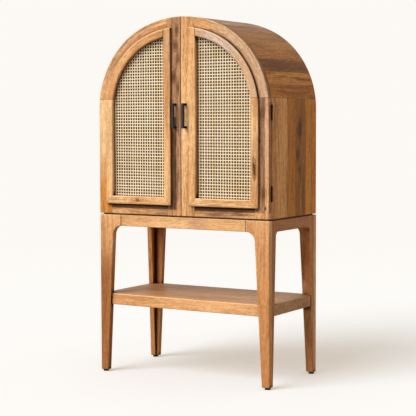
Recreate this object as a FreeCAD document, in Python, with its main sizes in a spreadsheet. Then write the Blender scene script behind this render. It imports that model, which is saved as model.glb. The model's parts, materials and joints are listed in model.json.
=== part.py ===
"""Arched bar cabinet with two cane doors on an open stand.

Millimetres, +Z up, front towards -Y, origin on the floor under the middle of the whole object.
"""
import FreeCAD, Part
import math
import os
from types import SimpleNamespace

import Sketcher

VECTOR = FreeCAD.Vector
DOC = FreeCAD.newDocument("ArchedBarCabinet")
SHEET = "Sizes"
SUBPARTS = []
SIDES = {"left": -1, "right": 1}
ENDS = {"front": -1, "back": 1}

# Driving dimensions in millimetres, apart from the counts at the end
SIZES = {
    # stand
    "stand_width": 850,
    "stand_depth": 430,
    "stand_height": 701,
    "leg_board": 24,
    "foot_width": 36,
    "knee_width": 69,
    "face_bracket": 40,
    "side_foot_width": 33,
    "side_knee_width": 60,
    "side_bracket": 20,
    "apron_height": 49,
    "glide_height": 8,
    "glide_radius": 12,
    "glide_inset": 15,
    "low_shelf_top": 350,
    "low_shelf_thickness": 48,
    "low_shelf_setback": 9,
    "low_shelf_end_setback": 3,
    "notch_play": 0.5,
    "block_size": 45,
    "block_height": 38,
    "board_ease": 2,
    # arched cabinet
    "half_width": 424,
    "haunch_radius": 382,
    "crown_radius": 490,
    "spring_height": 1160,
    "arch_joint_rise": 45,
    "panel_thickness": 20,
    "shadow_gap": 5,
    "strip_setback": 12,
    "strip_width": 24,
    "carcass_setback": 2,
    "back_thickness": 9,
    "back_recess": 3,
    "back_play": 0.3,
    "inner_shelf_top": 1072,
    "inner_shelf_setback": 6,
    "cleat_width": 16,
    "cleat_height": 22,
    "rack_setback": 30,
    "rack_pitch": 105,
    "spacer_width": 20,
    "spacer_height": 18,
    "slat_width": 72,
    "slat_thickness": 8,
    # doors
    "door_proud": 2,
    "door_thickness": 20,
    "door_seam": 2,
    "door_lift": 1,
    "meeting_gap": 3,
    "frame_width": 65,
    "moulding_margin": 44,
    "moulding_width": 34,
    "moulding_height": 14,
    "moulding_bevel": 4,
    "lip_depth": 9,
    "lip_play": 0.3,
    "bead_width": 11,
    "cane_margin": 66,
    "cane_pitch": 12.8,
    "cane_strand": 5.6,
    "cane_layer": 0.8,
    # door hardware
    "pull_projection": 28,
    "pull_centres": 96,
    "pull_bar": 10,
    "pull_bar_depth": 10,
    "pull_round": 2.5,
    "pull_height": 1132,
    "pull_inset": 24,
    "hinge_height": 64,
    "hinge_upper": 1144,
    "hinge_lower": 811,
    "leaf_width": 18,
    "leaf_thickness": 1.6,
    "leaf_sunk": 0.9,
    "knuckle_radius": 3.2,
    "knuckle_stand_off": 0.3,
    "knuckle_play": 0.4,
    "knuckle_end_play": 0.2,
    "pin_radius": 1.5,
    "pin_play": 0.05,
    "catch_inset": 12,
    "catch_length": 40,
    "catch_depth": 18,
    "catch_height": 14,
    "catch_plate": 1.2,
    # counts
    "haunch_staves": 7,
    "crown_staves": 7,
    "knuckles": 3,
    "rack_slats": 7,
}


class Dim:
    """A length as a sheet expression, which binds features, and as a value, which draws them."""

    def __init__(self, text, value):
        self.text = text
        self.value = value

    def __add__(self, other):
        other = dim(other)
        return Dim(f"({self.text} + {other.text})", self.value + other.value)

    def __sub__(self, other):
        other = dim(other)
        return Dim(f"({self.text} - {other.text})", self.value - other.value)

    def __mul__(self, other):
        other = dim(other)
        return Dim(f"({self.text} * {other.text})", self.value * other.value)

    def __truediv__(self, other):
        other = dim(other)
        return Dim(f"({self.text} / {other.text})", self.value / other.value)

    def __radd__(self, other):
        return dim(other) + self

    def __rsub__(self, other):
        return dim(other) - self

    def __rmul__(self, other):
        return dim(other) * self

    def __neg__(self):
        return dim(0) - self


def dim(number):
    """A plain number as a Dim; a Dim stays as it is."""
    return number if isinstance(number, Dim) else Dim(f"({number})", float(number))


def root(square):
    """The square root of a Dim."""
    return Dim(f"sqrt({square.text})", math.sqrt(square.value))


def write_sheet():
    """Puts the driving dimensions in the spreadsheet and returns them as Dims."""
    sheet = DOC.addObject("Spreadsheet::Sheet", SHEET)
    for row, (alias, number) in enumerate(SIZES.items(), start=1):
        sheet.set(f"A{row}", alias.replace("_", " "))
        sheet.set(f"B{row}", str(number))
        sheet.setAlias(f"B{row}", alias)
    DOC.recompute()
    return SimpleNamespace(**{alias: Dim(f"{SHEET}.{alias}", number) for alias, number in SIZES.items()})


S = write_sheet()

# Planes that several pieces share
HALF_STAND = S.stand_width / 2
FRONT = (S.door_proud + S.pull_projection - S.stand_depth) / 2
BACK = FRONT + S.stand_depth
DOOR_FRONT = FRONT - S.door_proud
DOOR_BACK = DOOR_FRONT + S.door_thickness
CARCASS_FRONT = DOOR_BACK + S.door_seam
CARCASS_BACK = BACK - S.carcass_setback
BACK_PANEL_REAR = CARCASS_BACK - S.back_recess
BACK_PANEL_FRONT = BACK_PANEL_REAR - S.back_thickness
CARCASS_BASE = S.stand_height + S.shadow_gap
CARCASS_FLOOR = CARCASS_BASE + S.panel_thickness
DOOR_BASE = CARCASS_BASE + S.door_lift
HALF_GAP = S.meeting_gap / 2
APRON_BOTTOM = S.stand_height - S.apron_height
INNER_HALF = S.half_width - S.panel_thickness
INNER_SHELF_BOTTOM = S.inner_shelf_top - S.panel_thickness

# The arch has three centres: one for each haunch, at the spring line, and one for the crown below it
HAUNCH_X = S.half_width - S.haunch_radius
CENTRE_DISTANCE = S.crown_radius - S.haunch_radius
CENTRE_DROP = root(CENTRE_DISTANCE * CENTRE_DISTANCE - HAUNCH_X * HAUNCH_X)
CROWN_Z = S.spring_height - CENTRE_DROP
JOINT_Z = S.spring_height + S.arch_joint_rise


# Helpers for objects of the document

def bind(obj, name, size):
    """Binds a property of an object to the sheet."""
    obj.setExpression(name, dim(size).text)


def place(obj, x, y, z):
    """Binds the position of an object to the sheet."""
    for axis, size in zip("xyz", (x, y, z)):
        bind(obj, f"Placement.Base.{axis}", size)


def subpart(obj, label):
    """Names an object as a finished sub-part."""
    obj.Label = label
    SUBPARTS.append(obj)
    return obj


def span(side, near, far):
    """The low and high end of a stretch on one side of the middle, from near to far."""
    return (dim(near), dim(far)) if side > 0 else (-dim(far), -dim(near))


def box(name, x, y, z):
    """A box between pairs of low and high ends."""
    solid = DOC.addObject("Part::Box", name)
    for prop, (low, high) in zip(("Length", "Width", "Height"), (x, y, z)):
        bind(solid, prop, dim(high) - low)
    place(solid, x[0], y[0], z[0])
    return solid


def cylinder(name, radius, height, base):
    """An upright cylinder on its base point."""
    solid = DOC.addObject("Part::Cylinder", name)
    bind(solid, "Radius", radius)
    bind(solid, "Height", height)
    place(solid, *base)
    return solid


def group(name, solids):
    """Separate solids kept together as one object."""
    compound = DOC.addObject("Part::Compound", name)
    compound.Links = solids
    return compound


def fuse(name, solids):
    """One solid out of several that meet."""
    result = DOC.addObject("Part::MultiFuse", name)
    result.Shapes = solids
    return result


def cut(name, base, tools):
    """A solid less its tools."""
    result = DOC.addObject("Part::Cut", name)
    result.Base = base
    result.Tool = group(name + "_tools", tools)
    return result


def common(name, base, tool):
    """What two objects share."""
    result = DOC.addObject("Part::Common", name)
    result.Base = base
    result.Tool = tool
    return result


# Sketches: a path lists (point,) for a straight run to a point and (point, centre, radius) for an arc to it

def draw(sketch, path):
    """Draws a closed path and binds each of its points and radii to the sheet."""
    runs = []
    for index, (end, *arc) in enumerate(path):
        start = path[index - 1][0]
        first = VECTOR(start[0].value, start[1].value, 0)
        last = VECTOR(end[0].value, end[1].value, 0)
        if not arc:
            runs.append((sketch.addGeometry(Part.LineSegment(first, last)), 1, 2))
            continue
        centre = VECTOR(arc[0][0].value, arc[0][1].value, 0)
        counter_clockwise = (first - centre).cross(last - centre).z > 0
        ends = (first, last) if counter_clockwise else (last, first)
        angles = [math.atan2(p.y - centre.y, p.x - centre.x) for p in ends]
        if angles[1] < angles[0]:
            angles[1] += 2 * math.pi
        circle = Part.Circle(centre, VECTOR(0, 0, 1), arc[1].value)
        number = sketch.addGeometry(Part.ArcOfCircle(circle, *angles))
        runs.append((number, 1, 2) if counter_clockwise else (number, 2, 1))
        constrain(sketch, arc[1], "Radius", number)
    for index, (end, *_) in enumerate(path):
        number, _, tail = runs[index]
        following, head, _ = runs[(index + 1) % len(runs)]
        sketch.addConstraint(Sketcher.Constraint("Coincident", number, tail, following, head))
        constrain(sketch, end[0], "DistanceX", -1, 1, number, tail)
        constrain(sketch, end[1], "DistanceY", -1, 1, number, tail)


def constrain(sketch, size, kind, *target):
    """Adds one dimension to a sketch, bound to the sheet."""
    number = sketch.addConstraint(Sketcher.Constraint(kind, *target, size.value))
    bind(sketch, f"Constraints[{number}]", size)


def sketch_on(body, role, path):
    """A sketch of a path on one of a body's own planes."""
    sketch = body.newObject("Sketcher::SketchObject", body.Name + "_outline")
    plane = next(item for item in body.Origin.OriginFeatures if item.Role == role)
    sketch.AttachmentSupport = [(plane, "")]
    sketch.MapMode = "FlatFace"
    draw(sketch, [([dim(value) for value in point], *arc) for point, *arc in path])
    return sketch


def pad(body, sketch, length, backwards=False):
    """Pads a sketch along its normal, or against it."""
    feature = body.newObject("PartDesign::Pad", body.Name + "_pad")
    feature.Profile = sketch
    feature.Reversed = backwards
    bind(feature, "Length", length)
    return feature


def board_in_xz(name, path, front, back):
    """A body with an outline in X and Z, from front to back."""
    body = DOC.addObject("PartDesign::Body", name)
    pad(body, sketch_on(body, "XZ_Plane", path), dim(back) - front)
    place(body, 0, back, 0)
    return body


def board_in_yz(name, path, low, high):
    """A body with an outline in Y and Z, from its low to its high X."""
    body = DOC.addObject("PartDesign::Body", name)
    pad(body, sketch_on(body, "YZ_Plane", path), dim(high) - low)
    place(body, low, 0, 0)
    return body


def board_in_xy(name, path, low, high):
    """A body with an outline in X and Y, from its low to its high Z."""
    body = DOC.addObject("PartDesign::Body", name)
    pad(body, sketch_on(body, "XY_Plane", path), dim(high) - low)
    place(body, 0, 0, low)
    return body


def rectangle(x, y):
    """The path of a rectangle between pairs of low and high ends."""
    return [((x[0], y[0]),), ((x[1], y[0]),), ((x[1], y[1]),), ((x[0], y[1]),)]


def dress_edges(body, kind, prop, size, wanted):
    """Chamfers or fillets the edges of a body whose middle and ends pass a test, in the body's own frame."""
    DOC.recompute()
    tip = body.Tip
    names = []
    for number, edge in enumerate(tip.Shape.Edges, start=1):
        middle = edge.valueAt((edge.FirstParameter + edge.LastParameter) / 2)
        if wanted(middle, [vertex.Point for vertex in edge.Vertexes]):
            names.append(f"Edge{number}")
    feature = body.newObject(kind, f"{body.Name}_{prop.lower()}")
    feature.Base = (tip, names)
    bind(feature, prop, size)


def chamfer(body, size, wanted):
    """Eases edges with a flat bevel."""
    dress_edges(body, "PartDesign::Chamfer", "Size", size, wanted)


def fillet(body, size, wanted):
    """Rounds edges."""
    dress_edges(body, "PartDesign::Fillet", "Radius", size, wanted)


def near(value, size):
    """Whether a number is at a size, within a hundredth."""
    return abs(value - dim(size).value) < 0.01


# Points of the arch at an inset from its outline, on the right-hand half

def haunch_x(inset, z):
    """X of the haunch arc at a height."""
    reach = S.haunch_radius - inset
    rise = z - S.spring_height
    return HAUNCH_X + root(reach * reach - rise * rise)


def crown_z(inset, x):
    """Z of the crown arc at a distance from the middle."""
    reach = S.crown_radius - inset
    return CROWN_Z + root(reach * reach - x * x)


def arc_join(inset):
    """The point where the haunch arc runs on into the crown arc."""
    share = (S.haunch_radius - inset) / CENTRE_DISTANCE
    return HAUNCH_X + share * HAUNCH_X, S.spring_height + share * CENTRE_DROP


def haunch_arc(point, inset):
    """A run along the haunch arc to a point."""
    return point, (HAUNCH_X, S.spring_height), S.haunch_radius - inset


def crown_arc(point, inset):
    """A run along the crown arc to a point."""
    return point, (dim(0), CROWN_Z), S.crown_radius - inset


def mirrored(side, path):
    """A path of the right-hand half, turned over for the left when side is -1."""
    result = []
    for (x, z), *arc in path:
        if arc:
            (centre_x, centre_z), radius = arc
            arc = ((side * dim(centre_x), centre_z), radius)
        result.append(((side * dim(x), z), *arc))
    return result


def inset_at(x, z):
    """How far a point of a door lies inside the door's edge."""
    x = abs(x)
    rise = z - S.spring_height.value
    out = x - HAUNCH_X.value
    if rise <= 0:
        from_arch = S.half_width.value - x
    elif rise * HAUNCH_X.value <= out * CENTRE_DROP.value:
        from_arch = S.haunch_radius.value - math.hypot(out, rise)
    else:
        from_arch = S.crown_radius.value - math.hypot(x, z - CROWN_Z.value)
    return min(from_arch, x - HALF_GAP.value, z - DOOR_BASE.value)


# Stand

def leg_outline(outer, board_start, foot, knee, bracket):
    """Outline of a leg board: tapered to the foot, with a curved bracket below the apron.

    outer turns a distance from the leg's outer face into a coordinate.
    """
    ear = knee + bracket
    start = APRON_BOTTOM - bracket
    return [
        ((outer(board_start), S.glide_height),),
        ((outer(foot), S.glide_height),),
        ((outer(knee), start),),
        ((outer(ear), APRON_BOTTOM), (outer(ear), start), bracket),
        ((outer(ear), S.stand_height),),
        ((outer(board_start), S.stand_height),),
    ]


def eased_leg_edge(position, joint, ear):
    """The test for a leg board's eased edges: those of its outer face and foot, away from its joints.

    position gives a point's depth below the outer face and its distance across from the leg's corner,
    joint is the distance of the joint between the leg's two boards, or None, and ear that of the apron's.
    """
    def wanted(middle, ends):
        depth, across = position(middle)
        at_joint = joint is not None and near(across, joint)
        on_face = near(depth, 0) and not near(across, ear)
        return (on_face or near(middle.z, S.glide_height)) and not at_joint
    return wanted


def leg(side_name, end_name):
    """Two boards that make an L-shaped leg: the face board runs over the side board's edge."""
    side = SIDES[side_name]
    end = ENDS[end_name]
    end_face = FRONT if end < 0 else BACK
    side_face = side * HALF_STAND

    def inward_x(distance):
        return side_face - side * dim(distance)

    def inward_y(distance):
        return end_face - end * dim(distance)

    name = f"leg_{end_name}_{side_name}"
    face_ear = S.knee_width + S.face_bracket
    side_ear = S.side_knee_width + S.side_bracket

    path = leg_outline(inward_x, dim(0), S.foot_width, S.knee_width, S.face_bracket)
    layer = sorted((end_face, inward_y(S.leg_board)), key=lambda size: size.value)
    face = board_in_xz(name + "_face", path, *layer)

    def on_face_board(point):
        return point.y + layer[1].value - end_face.value, abs(point.x - side_face.value)

    chamfer(face, S.board_ease, eased_leg_edge(on_face_board, None, face_ear))
    subpart(face, name + "_face")

    path = leg_outline(inward_y, S.leg_board, S.side_foot_width, S.side_knee_width, S.side_bracket)
    layer = sorted((side_face, inward_x(S.leg_board)), key=lambda size: size.value)
    flank = board_in_yz(name + "_side", path, *layer)

    def on_side_board(point):
        return point.x + layer[0].value - side_face.value, abs(point.y - end_face.value)

    chamfer(flank, S.board_ease, eased_leg_edge(on_side_board, S.leg_board, side_ear))
    subpart(flank, name + "_side")


def aprons():
    """Four rails between the legs, flush with them."""
    long_end = HALF_STAND - S.knee_width - S.face_bracket
    short_end = S.side_knee_width + S.side_bracket
    height = (APRON_BOTTOM, S.stand_height)
    for name, end in ENDS.items():
        y = (FRONT, FRONT + S.leg_board) if end < 0 else (BACK - S.leg_board, BACK)
        apron = board_in_xy(f"apron_{name}", rectangle((-long_end, long_end), y), *height)
        face = y[0] if end < 0 else y[1]
        chamfer(apron, S.board_ease, lambda middle, ends: near(middle.y, face) and near(middle.x, 0))
        subpart(apron, f"apron_{name}")
    for name, side in SIDES.items():
        x = span(side, HALF_STAND - S.leg_board, HALF_STAND)
        y = (FRONT + short_end, BACK - short_end)
        apron = board_in_xy(f"apron_{name}", rectangle(x, y), *height)
        face = side * HALF_STAND
        middle_y = (FRONT + BACK) / 2
        chamfer(apron, S.board_ease, lambda middle, ends: near(middle.x, face) and near(middle.y, middle_y))
        subpart(apron, f"apron_{name}")


def width_at(foot, knee, bracket, z):
    """Width of a tapered leg board at a height."""
    share = (z - S.glide_height) / (APRON_BOTTOM - bracket - S.glide_height)
    return foot + share * (knee - foot)


def low_shelf():
    """The thick shelf of the stand, notched round the four L-shaped legs."""
    top = S.low_shelf_top
    face_notch = width_at(S.foot_width, S.knee_width, S.face_bracket, top) + S.notch_play
    side_notch = width_at(S.side_foot_width, S.side_knee_width, S.side_bracket, top) + S.notch_play
    middle_y = (FRONT + BACK) / 2
    half_depth = S.stand_depth / 2
    corner = [
        (HALF_STAND - S.low_shelf_end_setback, half_depth - side_notch),
        (HALF_STAND - S.leg_board, half_depth - side_notch),
        (HALF_STAND - S.leg_board, half_depth - S.leg_board),
        (HALF_STAND - face_notch, half_depth - S.leg_board),
        (HALF_STAND - face_notch, half_depth - S.low_shelf_setback),
    ]
    path = []
    for side, end in ((1, 1), (-1, 1), (-1, -1), (1, -1)):
        points = corner if side * end > 0 else corner[::-1]
        path += [((side * x, middle_y + end * y),) for x, y in points]
    shelf = board_in_xy("stand_shelf", path, top - S.low_shelf_thickness, top)

    def outer_edge(middle, ends):
        level = all(near(point.z, middle.z) for point in ends)
        at_end = near(abs(middle.x), HALF_STAND - S.low_shelf_end_setback)
        at_front = near(abs(middle.y - middle_y.value), half_depth - S.low_shelf_setback)
        return level and (at_end or at_front)

    chamfer(shelf, S.board_ease, outer_edge)
    subpart(shelf, "stand_shelf")


def stand_fittings():
    """Foot glides, and glue blocks in the corners of the legs."""
    glides = []
    blocks = []
    z = (S.stand_height - S.block_height, S.stand_height)
    for side_name, side in SIDES.items():
        for end_name, end in ENDS.items():
            name = f"{end_name}_{side_name}"
            face = FRONT if end < 0 else BACK
            foot = (side * (HALF_STAND - S.glide_inset), face - end * S.glide_inset, 0)
            glides.append(cylinder("glide_" + name, S.glide_radius, S.glide_height, foot))
            inner = HALF_STAND - S.leg_board
            x = span(side, inner - S.block_size, inner)
            ends = (face - end * S.leg_board, face - end * (S.leg_board + S.block_size))
            y = sorted(ends, key=lambda size: size.value)
            blocks.append(box("block_" + name, x, y, z))
    subpart(group("foot_glides", glides), "foot_glides")
    subpart(group("corner_blocks", blocks), "corner_blocks")


# Cabinet

def base_strips():
    """Thin strips, set back all round, that leave a shadow gap between cabinet and stand."""
    outer = S.half_width - S.strip_setback
    front = FRONT + S.strip_setback
    back = BACK - S.strip_setback
    z = (S.stand_height, CARCASS_BASE)
    strips = [
        box("strip_front", (-outer, outer), (front, front + S.strip_width), z),
        box("strip_back", (-outer, outer), (back - S.strip_width, back), z),
    ]
    for name, side in SIDES.items():
        x = span(side, outer - S.strip_width, outer)
        strips.append(box(f"strip_{name}", x, (front + S.strip_width, back - S.strip_width), z))
    subpart(group("base_strips", strips), "base_strips")


def carcass_bottom():
    """The floor of the cabinet, between its sides."""
    z = (CARCASS_BASE, CARCASS_FLOOR)
    floor = box("carcass_bottom", (-INNER_HALF, INNER_HALF), (CARCASS_FRONT, CARCASS_BACK), z)
    subpart(floor, "carcass_bottom")


def carcass_side(side_name):
    """A side panel: straight up to the spring line, with the first few degrees of the arch at its top."""
    side = SIDES[side_name]
    inner = S.panel_thickness
    path = mirrored(side, [
        ((S.half_width, CARCASS_BASE),),
        ((S.half_width, S.spring_height),),
        haunch_arc((haunch_x(0, JOINT_Z), JOINT_Z), 0),
        joint_inner_point(),
        haunch_arc((S.half_width - inner, S.spring_height), inner),
        ((S.half_width - inner, CARCASS_BASE),),
    ])
    panel = board_in_xz(f"carcass_side_{side_name}_panel", path, CARCASS_FRONT, CARCASS_BACK)
    mortises = []
    for height in (S.hinge_upper, S.hinge_lower):
        x = span(side, S.half_width - S.leaf_width, S.half_width)
        y = (CARCASS_FRONT, CARCASS_FRONT + S.leaf_sunk)
        mortises.append(box("mortise", x, y, hinge_span(height)))
    subpart(cut(f"carcass_side_{side_name}", panel, mortises), f"carcass_side_{side_name}")


def joint_inner_point():
    """Inner end of the joint between a side panel and the first stave, square to the arch."""
    share = (S.haunch_radius - S.panel_thickness) / S.haunch_radius
    x = HAUNCH_X + share * (haunch_x(0, JOINT_Z) - HAUNCH_X)
    return ((x, S.spring_height + share * S.arch_joint_rise),)


def stave(name, centre, radius, start, sweep):
    """One stave of the arch: a ring sector from front to back, its angles in degrees from +X to +Z."""
    turn = FreeCAD.Rotation(VECTOR(0, -1, 0), start) * FreeCAD.Rotation(VECTOR(1, 0, 0), 90)
    sectors = []
    for part_name, reach in ((name + "_outer", radius), (name + "_inner", radius - S.panel_thickness)):
        sector = DOC.addObject("Part::Cylinder", part_name)
        sector.Placement = FreeCAD.Placement(VECTOR(), turn)
        sector.Angle = sweep
        bind(sector, "Radius", reach)
        bind(sector, "Height", CARCASS_BACK - CARCASS_FRONT)
        place(sector, centre[0], CARCASS_BACK, centre[1])
        sectors.append(sector)
    return cut(name, sectors[0], sectors[1:])


def arch_staves():
    """The coopered arch: staves of equal width over each haunch and over the crown."""
    low = math.degrees(math.asin(S.arch_joint_rise.value / S.haunch_radius.value))
    high = math.degrees(math.atan2(CENTRE_DROP.value, HAUNCH_X.value))
    haunch_count = SIZES["haunch_staves"]
    crown_count = SIZES["crown_staves"]
    haunch_sweep = (high - low) / haunch_count
    crown_sweep = (180 - 2 * high) / crown_count
    staves = []
    for index in range(haunch_count):
        start = low + index * haunch_sweep
        centre = (HAUNCH_X, S.spring_height)
        staves.append(stave(f"stave_right_{index}", centre, S.haunch_radius, start, haunch_sweep))
        centre = (-HAUNCH_X, S.spring_height)
        mirror_start = 180 - start - haunch_sweep
        staves.append(stave(f"stave_left_{index}", centre, S.haunch_radius, mirror_start, haunch_sweep))
    for index in range(crown_count):
        start = high + index * crown_sweep
        staves.append(stave(f"stave_crown_{index}", (0, CROWN_Z), S.crown_radius, start, crown_sweep))
    subpart(group("arch_staves", staves), "arch_staves")


def back_panel():
    """The arched back, let in between the sides and the staves."""
    inset = S.panel_thickness + S.back_play
    edge = S.half_width - inset
    join_x, join_z = arc_join(inset)
    right = (HAUNCH_X, S.spring_height)
    left = (-HAUNCH_X, S.spring_height)
    reach = S.haunch_radius - inset
    path = [
        ((-edge, CARCASS_FLOOR),),
        ((edge, CARCASS_FLOOR),),
        ((edge, S.spring_height),),
        ((join_x, join_z), right, reach),
        crown_arc((-join_x, join_z), inset),
        ((-edge, S.spring_height), left, reach),
    ]
    subpart(board_in_xz("back_panel", path, BACK_PANEL_FRONT, BACK_PANEL_REAR), "back_panel")


def bar_fittings():
    """The inner shelf on its cleats, the stemware rack under it and the magnetic catches."""
    front = CARCASS_FRONT + S.inner_shelf_setback
    shelf = box("inner_shelf", (-INNER_HALF, INNER_HALF), (front, BACK_PANEL_FRONT),
                (INNER_SHELF_BOTTOM, S.inner_shelf_top))
    subpart(shelf, "inner_shelf")
    depth = (CARCASS_FRONT + S.rack_setback, BACK_PANEL_FRONT)
    cleats = []
    catches = []
    top = INNER_SHELF_BOTTOM
    for name, side in SIDES.items():
        x = span(side, INNER_HALF - S.cleat_width, INNER_HALF)
        cleats.append(box(f"cleat_{name}", x, depth, (top - S.cleat_height, top)))
        x = span(side, S.catch_inset, S.catch_inset + S.catch_length)
        y = (CARCASS_FRONT, CARCASS_FRONT + S.catch_depth)
        catches.append(box(f"catch_{name}", x, y, (top - S.catch_height, top)))
    subpart(group("shelf_cleats", cleats), "shelf_cleats")
    subpart(group("door_catches", catches), "door_catches")
    stemware_rack(depth)


def stemware_rack(depth):
    """Slats on narrower spacers under the shelf: a glass hangs by its foot between two slats."""
    spacer_bottom = INNER_SHELF_BOTTOM - S.spacer_height
    slat_bottom = spacer_bottom - S.slat_thickness
    count = SIZES["rack_slats"]
    spacers = []
    slats = []
    for index in range(count):
        middle = (index - (count - 1) / 2) * S.rack_pitch
        x = (middle - S.spacer_width / 2, middle + S.spacer_width / 2)
        spacers.append(box(f"rack_spacer_{index}", x, depth, (spacer_bottom, INNER_SHELF_BOTTOM)))
        x = (middle - S.slat_width / 2, middle + S.slat_width / 2)
        slats.append(box(f"rack_slat_{index}", x, depth, (slat_bottom, spacer_bottom)))
    subpart(group("stemware_spacers", spacers), "stemware_spacers")
    subpart(group("stemware_slats", slats), "stemware_slats")


# Doors

def arch_band(outer, inner, meet_x):
    """A curved band between two insets, from the joint above the spring line to an upright at meet_x."""
    return [
        ((haunch_x(outer, JOINT_Z), JOINT_Z),),
        haunch_arc(arc_join(outer), outer),
        crown_arc((meet_x, crown_z(outer, meet_x)), outer),
        ((meet_x, crown_z(inner, meet_x)),),
        crown_arc(arc_join(inner), inner),
        haunch_arc((haunch_x(inner, JOINT_Z), JOINT_Z), inner),
    ]


def outer_length(outer, inner, foot_outer, foot_inner):
    """An upright between two insets along the door's outer edge, from its foot up to the arch joint."""
    return [
        ((S.half_width - outer, foot_outer),),
        ((S.half_width - outer, S.spring_height),),
        haunch_arc((haunch_x(outer, JOINT_Z), JOINT_Z), outer),
        ((haunch_x(inner, JOINT_Z), JOINT_Z),),
        haunch_arc((S.half_width - inner, S.spring_height), inner),
        ((S.half_width - inner, foot_inner),),
    ]


def inner_length(outer, inner, foot_outer, foot_inner):
    """An upright between two insets along the meeting edge, its top cut to the arch."""
    near_x = HALF_GAP + outer
    far_x = HALF_GAP + inner
    return [
        ((near_x, foot_outer),),
        ((far_x, foot_inner),),
        ((far_x, crown_z(outer, far_x)),),
        crown_arc((near_x, crown_z(outer, near_x)), outer),
    ]


def bottom_length(outer, inner):
    """A mitred length between two insets along the bottom edge."""
    return [
        ((S.half_width - outer, DOOR_BASE + outer),),
        ((HALF_GAP + outer, DOOR_BASE + outer),),
        ((HALF_GAP + inner, DOOR_BASE + inner),),
        ((S.half_width - inner, DOOR_BASE + inner),),
    ]


def surround(outer, inner):
    """The four mitred lengths of a surround between two insets."""
    foot = (DOOR_BASE + outer, DOOR_BASE + inner)
    return {
        "arch": arch_band(outer, inner, HALF_GAP + inner),
        "outer": outer_length(outer, inner, *foot),
        "inner": inner_length(outer, inner, *foot),
        "bottom": bottom_length(outer, inner),
    }


def ease_door_edge(body):
    """Eases the front edges of a frame member that lie on the door's own outline."""
    front = -S.door_thickness.value

    def wanted(middle, ends):
        return near(middle.y, front) and abs(inset_at(middle.x, middle.z)) < 0.01

    chamfer(body, S.board_ease, wanted)


def door_frame(name, side):
    """Stiles, bottom rail and arch rail of a door."""
    width = S.frame_width
    meet = HALF_GAP + width
    layer = (DOOR_FRONT, DOOR_BACK)
    base = DOOR_BASE

    path = outer_length(dim(0), width, base, base)
    stile = board_in_xz(f"door_{name}_stile_blank", mirrored(side, path), *layer)
    ease_door_edge(stile)
    x = span(side, S.half_width - S.leaf_width, S.half_width)
    y = (DOOR_BACK - S.leaf_sunk, DOOR_BACK)
    mortises = [box("mortise", x, y, hinge_span(height)) for height in (S.hinge_upper, S.hinge_lower)]
    subpart(cut(f"door_{name}_outer_stile", stile, mortises), f"door_{name}_outer_stile")

    path = inner_length(dim(0), width, base, base)
    stile = board_in_xz(f"door_{name}_meeting_stile", mirrored(side, path), *layer)
    ease_door_edge(stile)
    subpart(stile, f"door_{name}_meeting_stile")

    path = rectangle((meet, S.half_width - width), (base, base + width))
    rail = board_in_xz(f"door_{name}_bottom_rail", mirrored(side, path), *layer)
    ease_door_edge(rail)
    subpart(rail, f"door_{name}_bottom_rail")

    rail = board_in_xz(f"door_{name}_arch_rail", mirrored(side, arch_band(dim(0), width, meet)), *layer)
    ease_door_edge(rail)
    subpart(rail, f"door_{name}_arch_rail")


def door_mouldings(name, side):
    """The raised moulding: it laps the frame, and its lip reaches into the opening to the cane."""
    outer = S.moulding_margin
    inner = outer + S.moulding_width
    lip = S.frame_width + S.lip_play
    faces = surround(outer, inner)
    lips = surround(lip, inner)
    front = -S.moulding_height.value

    def long_front_edge(middle, ends):
        inset = inset_at(middle.x, middle.z)
        return near(middle.y, front) and (near(inset, outer) or near(inset, inner))

    for length, path in faces.items():
        body = DOC.addObject("PartDesign::Body", f"moulding_{name}_{length}")
        pad(body, sketch_on(body, "XZ_Plane", mirrored(side, path)), S.moulding_height)
        pad(body, sketch_on(body, "XZ_Plane", mirrored(side, lips[length])), S.lip_depth, backwards=True)
        place(body, 0, DOOR_FRONT, 0)
        chamfer(body, S.moulding_bevel, long_front_edge)
        subpart(body, f"moulding_{name}_{length}")


def door_cane(name, side):
    """The cane webbing between lip and beads: flat strands, upright behind level, trimmed to the opening."""
    margin = S.cane_margin
    edge = S.half_width - margin
    meet = HALF_GAP + margin
    front = DOOR_FRONT + S.lip_depth
    middle = front + S.cane_layer
    back = middle + S.cane_layer
    outline = mirrored(side, [
        ((meet, DOOR_BASE + margin),),
        ((edge, DOOR_BASE + margin),),
        ((edge, S.spring_height),),
        haunch_arc(arc_join(margin), margin),
        crown_arc((meet, crown_z(margin, meet)), margin),
    ])
    top = crown_z(margin, meet)
    half_strand = S.cane_strand / 2
    upright_count = int((edge.value - meet.value) / S.cane_pitch.value)
    level_count = int((top.value - DOOR_BASE.value - margin.value) / S.cane_pitch.value)
    uprights = []
    for index in range(upright_count):
        x = meet + (index + 0.5) * S.cane_pitch
        z = (DOOR_BASE + margin, top)
        width = span(side, x - half_strand, x + half_strand)
        uprights.append(box("upright_strand", width, (middle, back), z))
    levels = []
    for index in range(level_count):
        z = DOOR_BASE + margin + (index + 0.5) * S.cane_pitch
        height = (z - half_strand, z + half_strand)
        levels.append(box("level_strand", span(side, meet, edge), (front, middle), height))

    def trimmed(layer, strands, low, high):
        shape = board_in_xz(f"cane_{name}_{layer}_outline", outline, low, high)
        return common(f"cane_{name}_{layer}", group(f"{layer}_strands_{name}", strands), shape)

    layers = [trimmed("upright", uprights, middle, back), trimmed("level", levels, front, middle)]
    subpart(group(f"cane_panel_{name}", layers), f"cane_panel_{name}")


def door_beads(name, side):
    """The beads that hold the cane from behind, flush with the back of the frame."""
    outer = S.frame_width + S.lip_play
    front = DOOR_FRONT + S.lip_depth + 2 * S.cane_layer
    beads = []
    for length, path in surround(outer, outer + S.bead_width).items():
        beads.append(board_in_xz(f"bead_{name}_{length}", mirrored(side, path), front, DOOR_BACK))
    subpart(group(f"cane_beads_{name}", beads), f"cane_beads_{name}")


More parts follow.
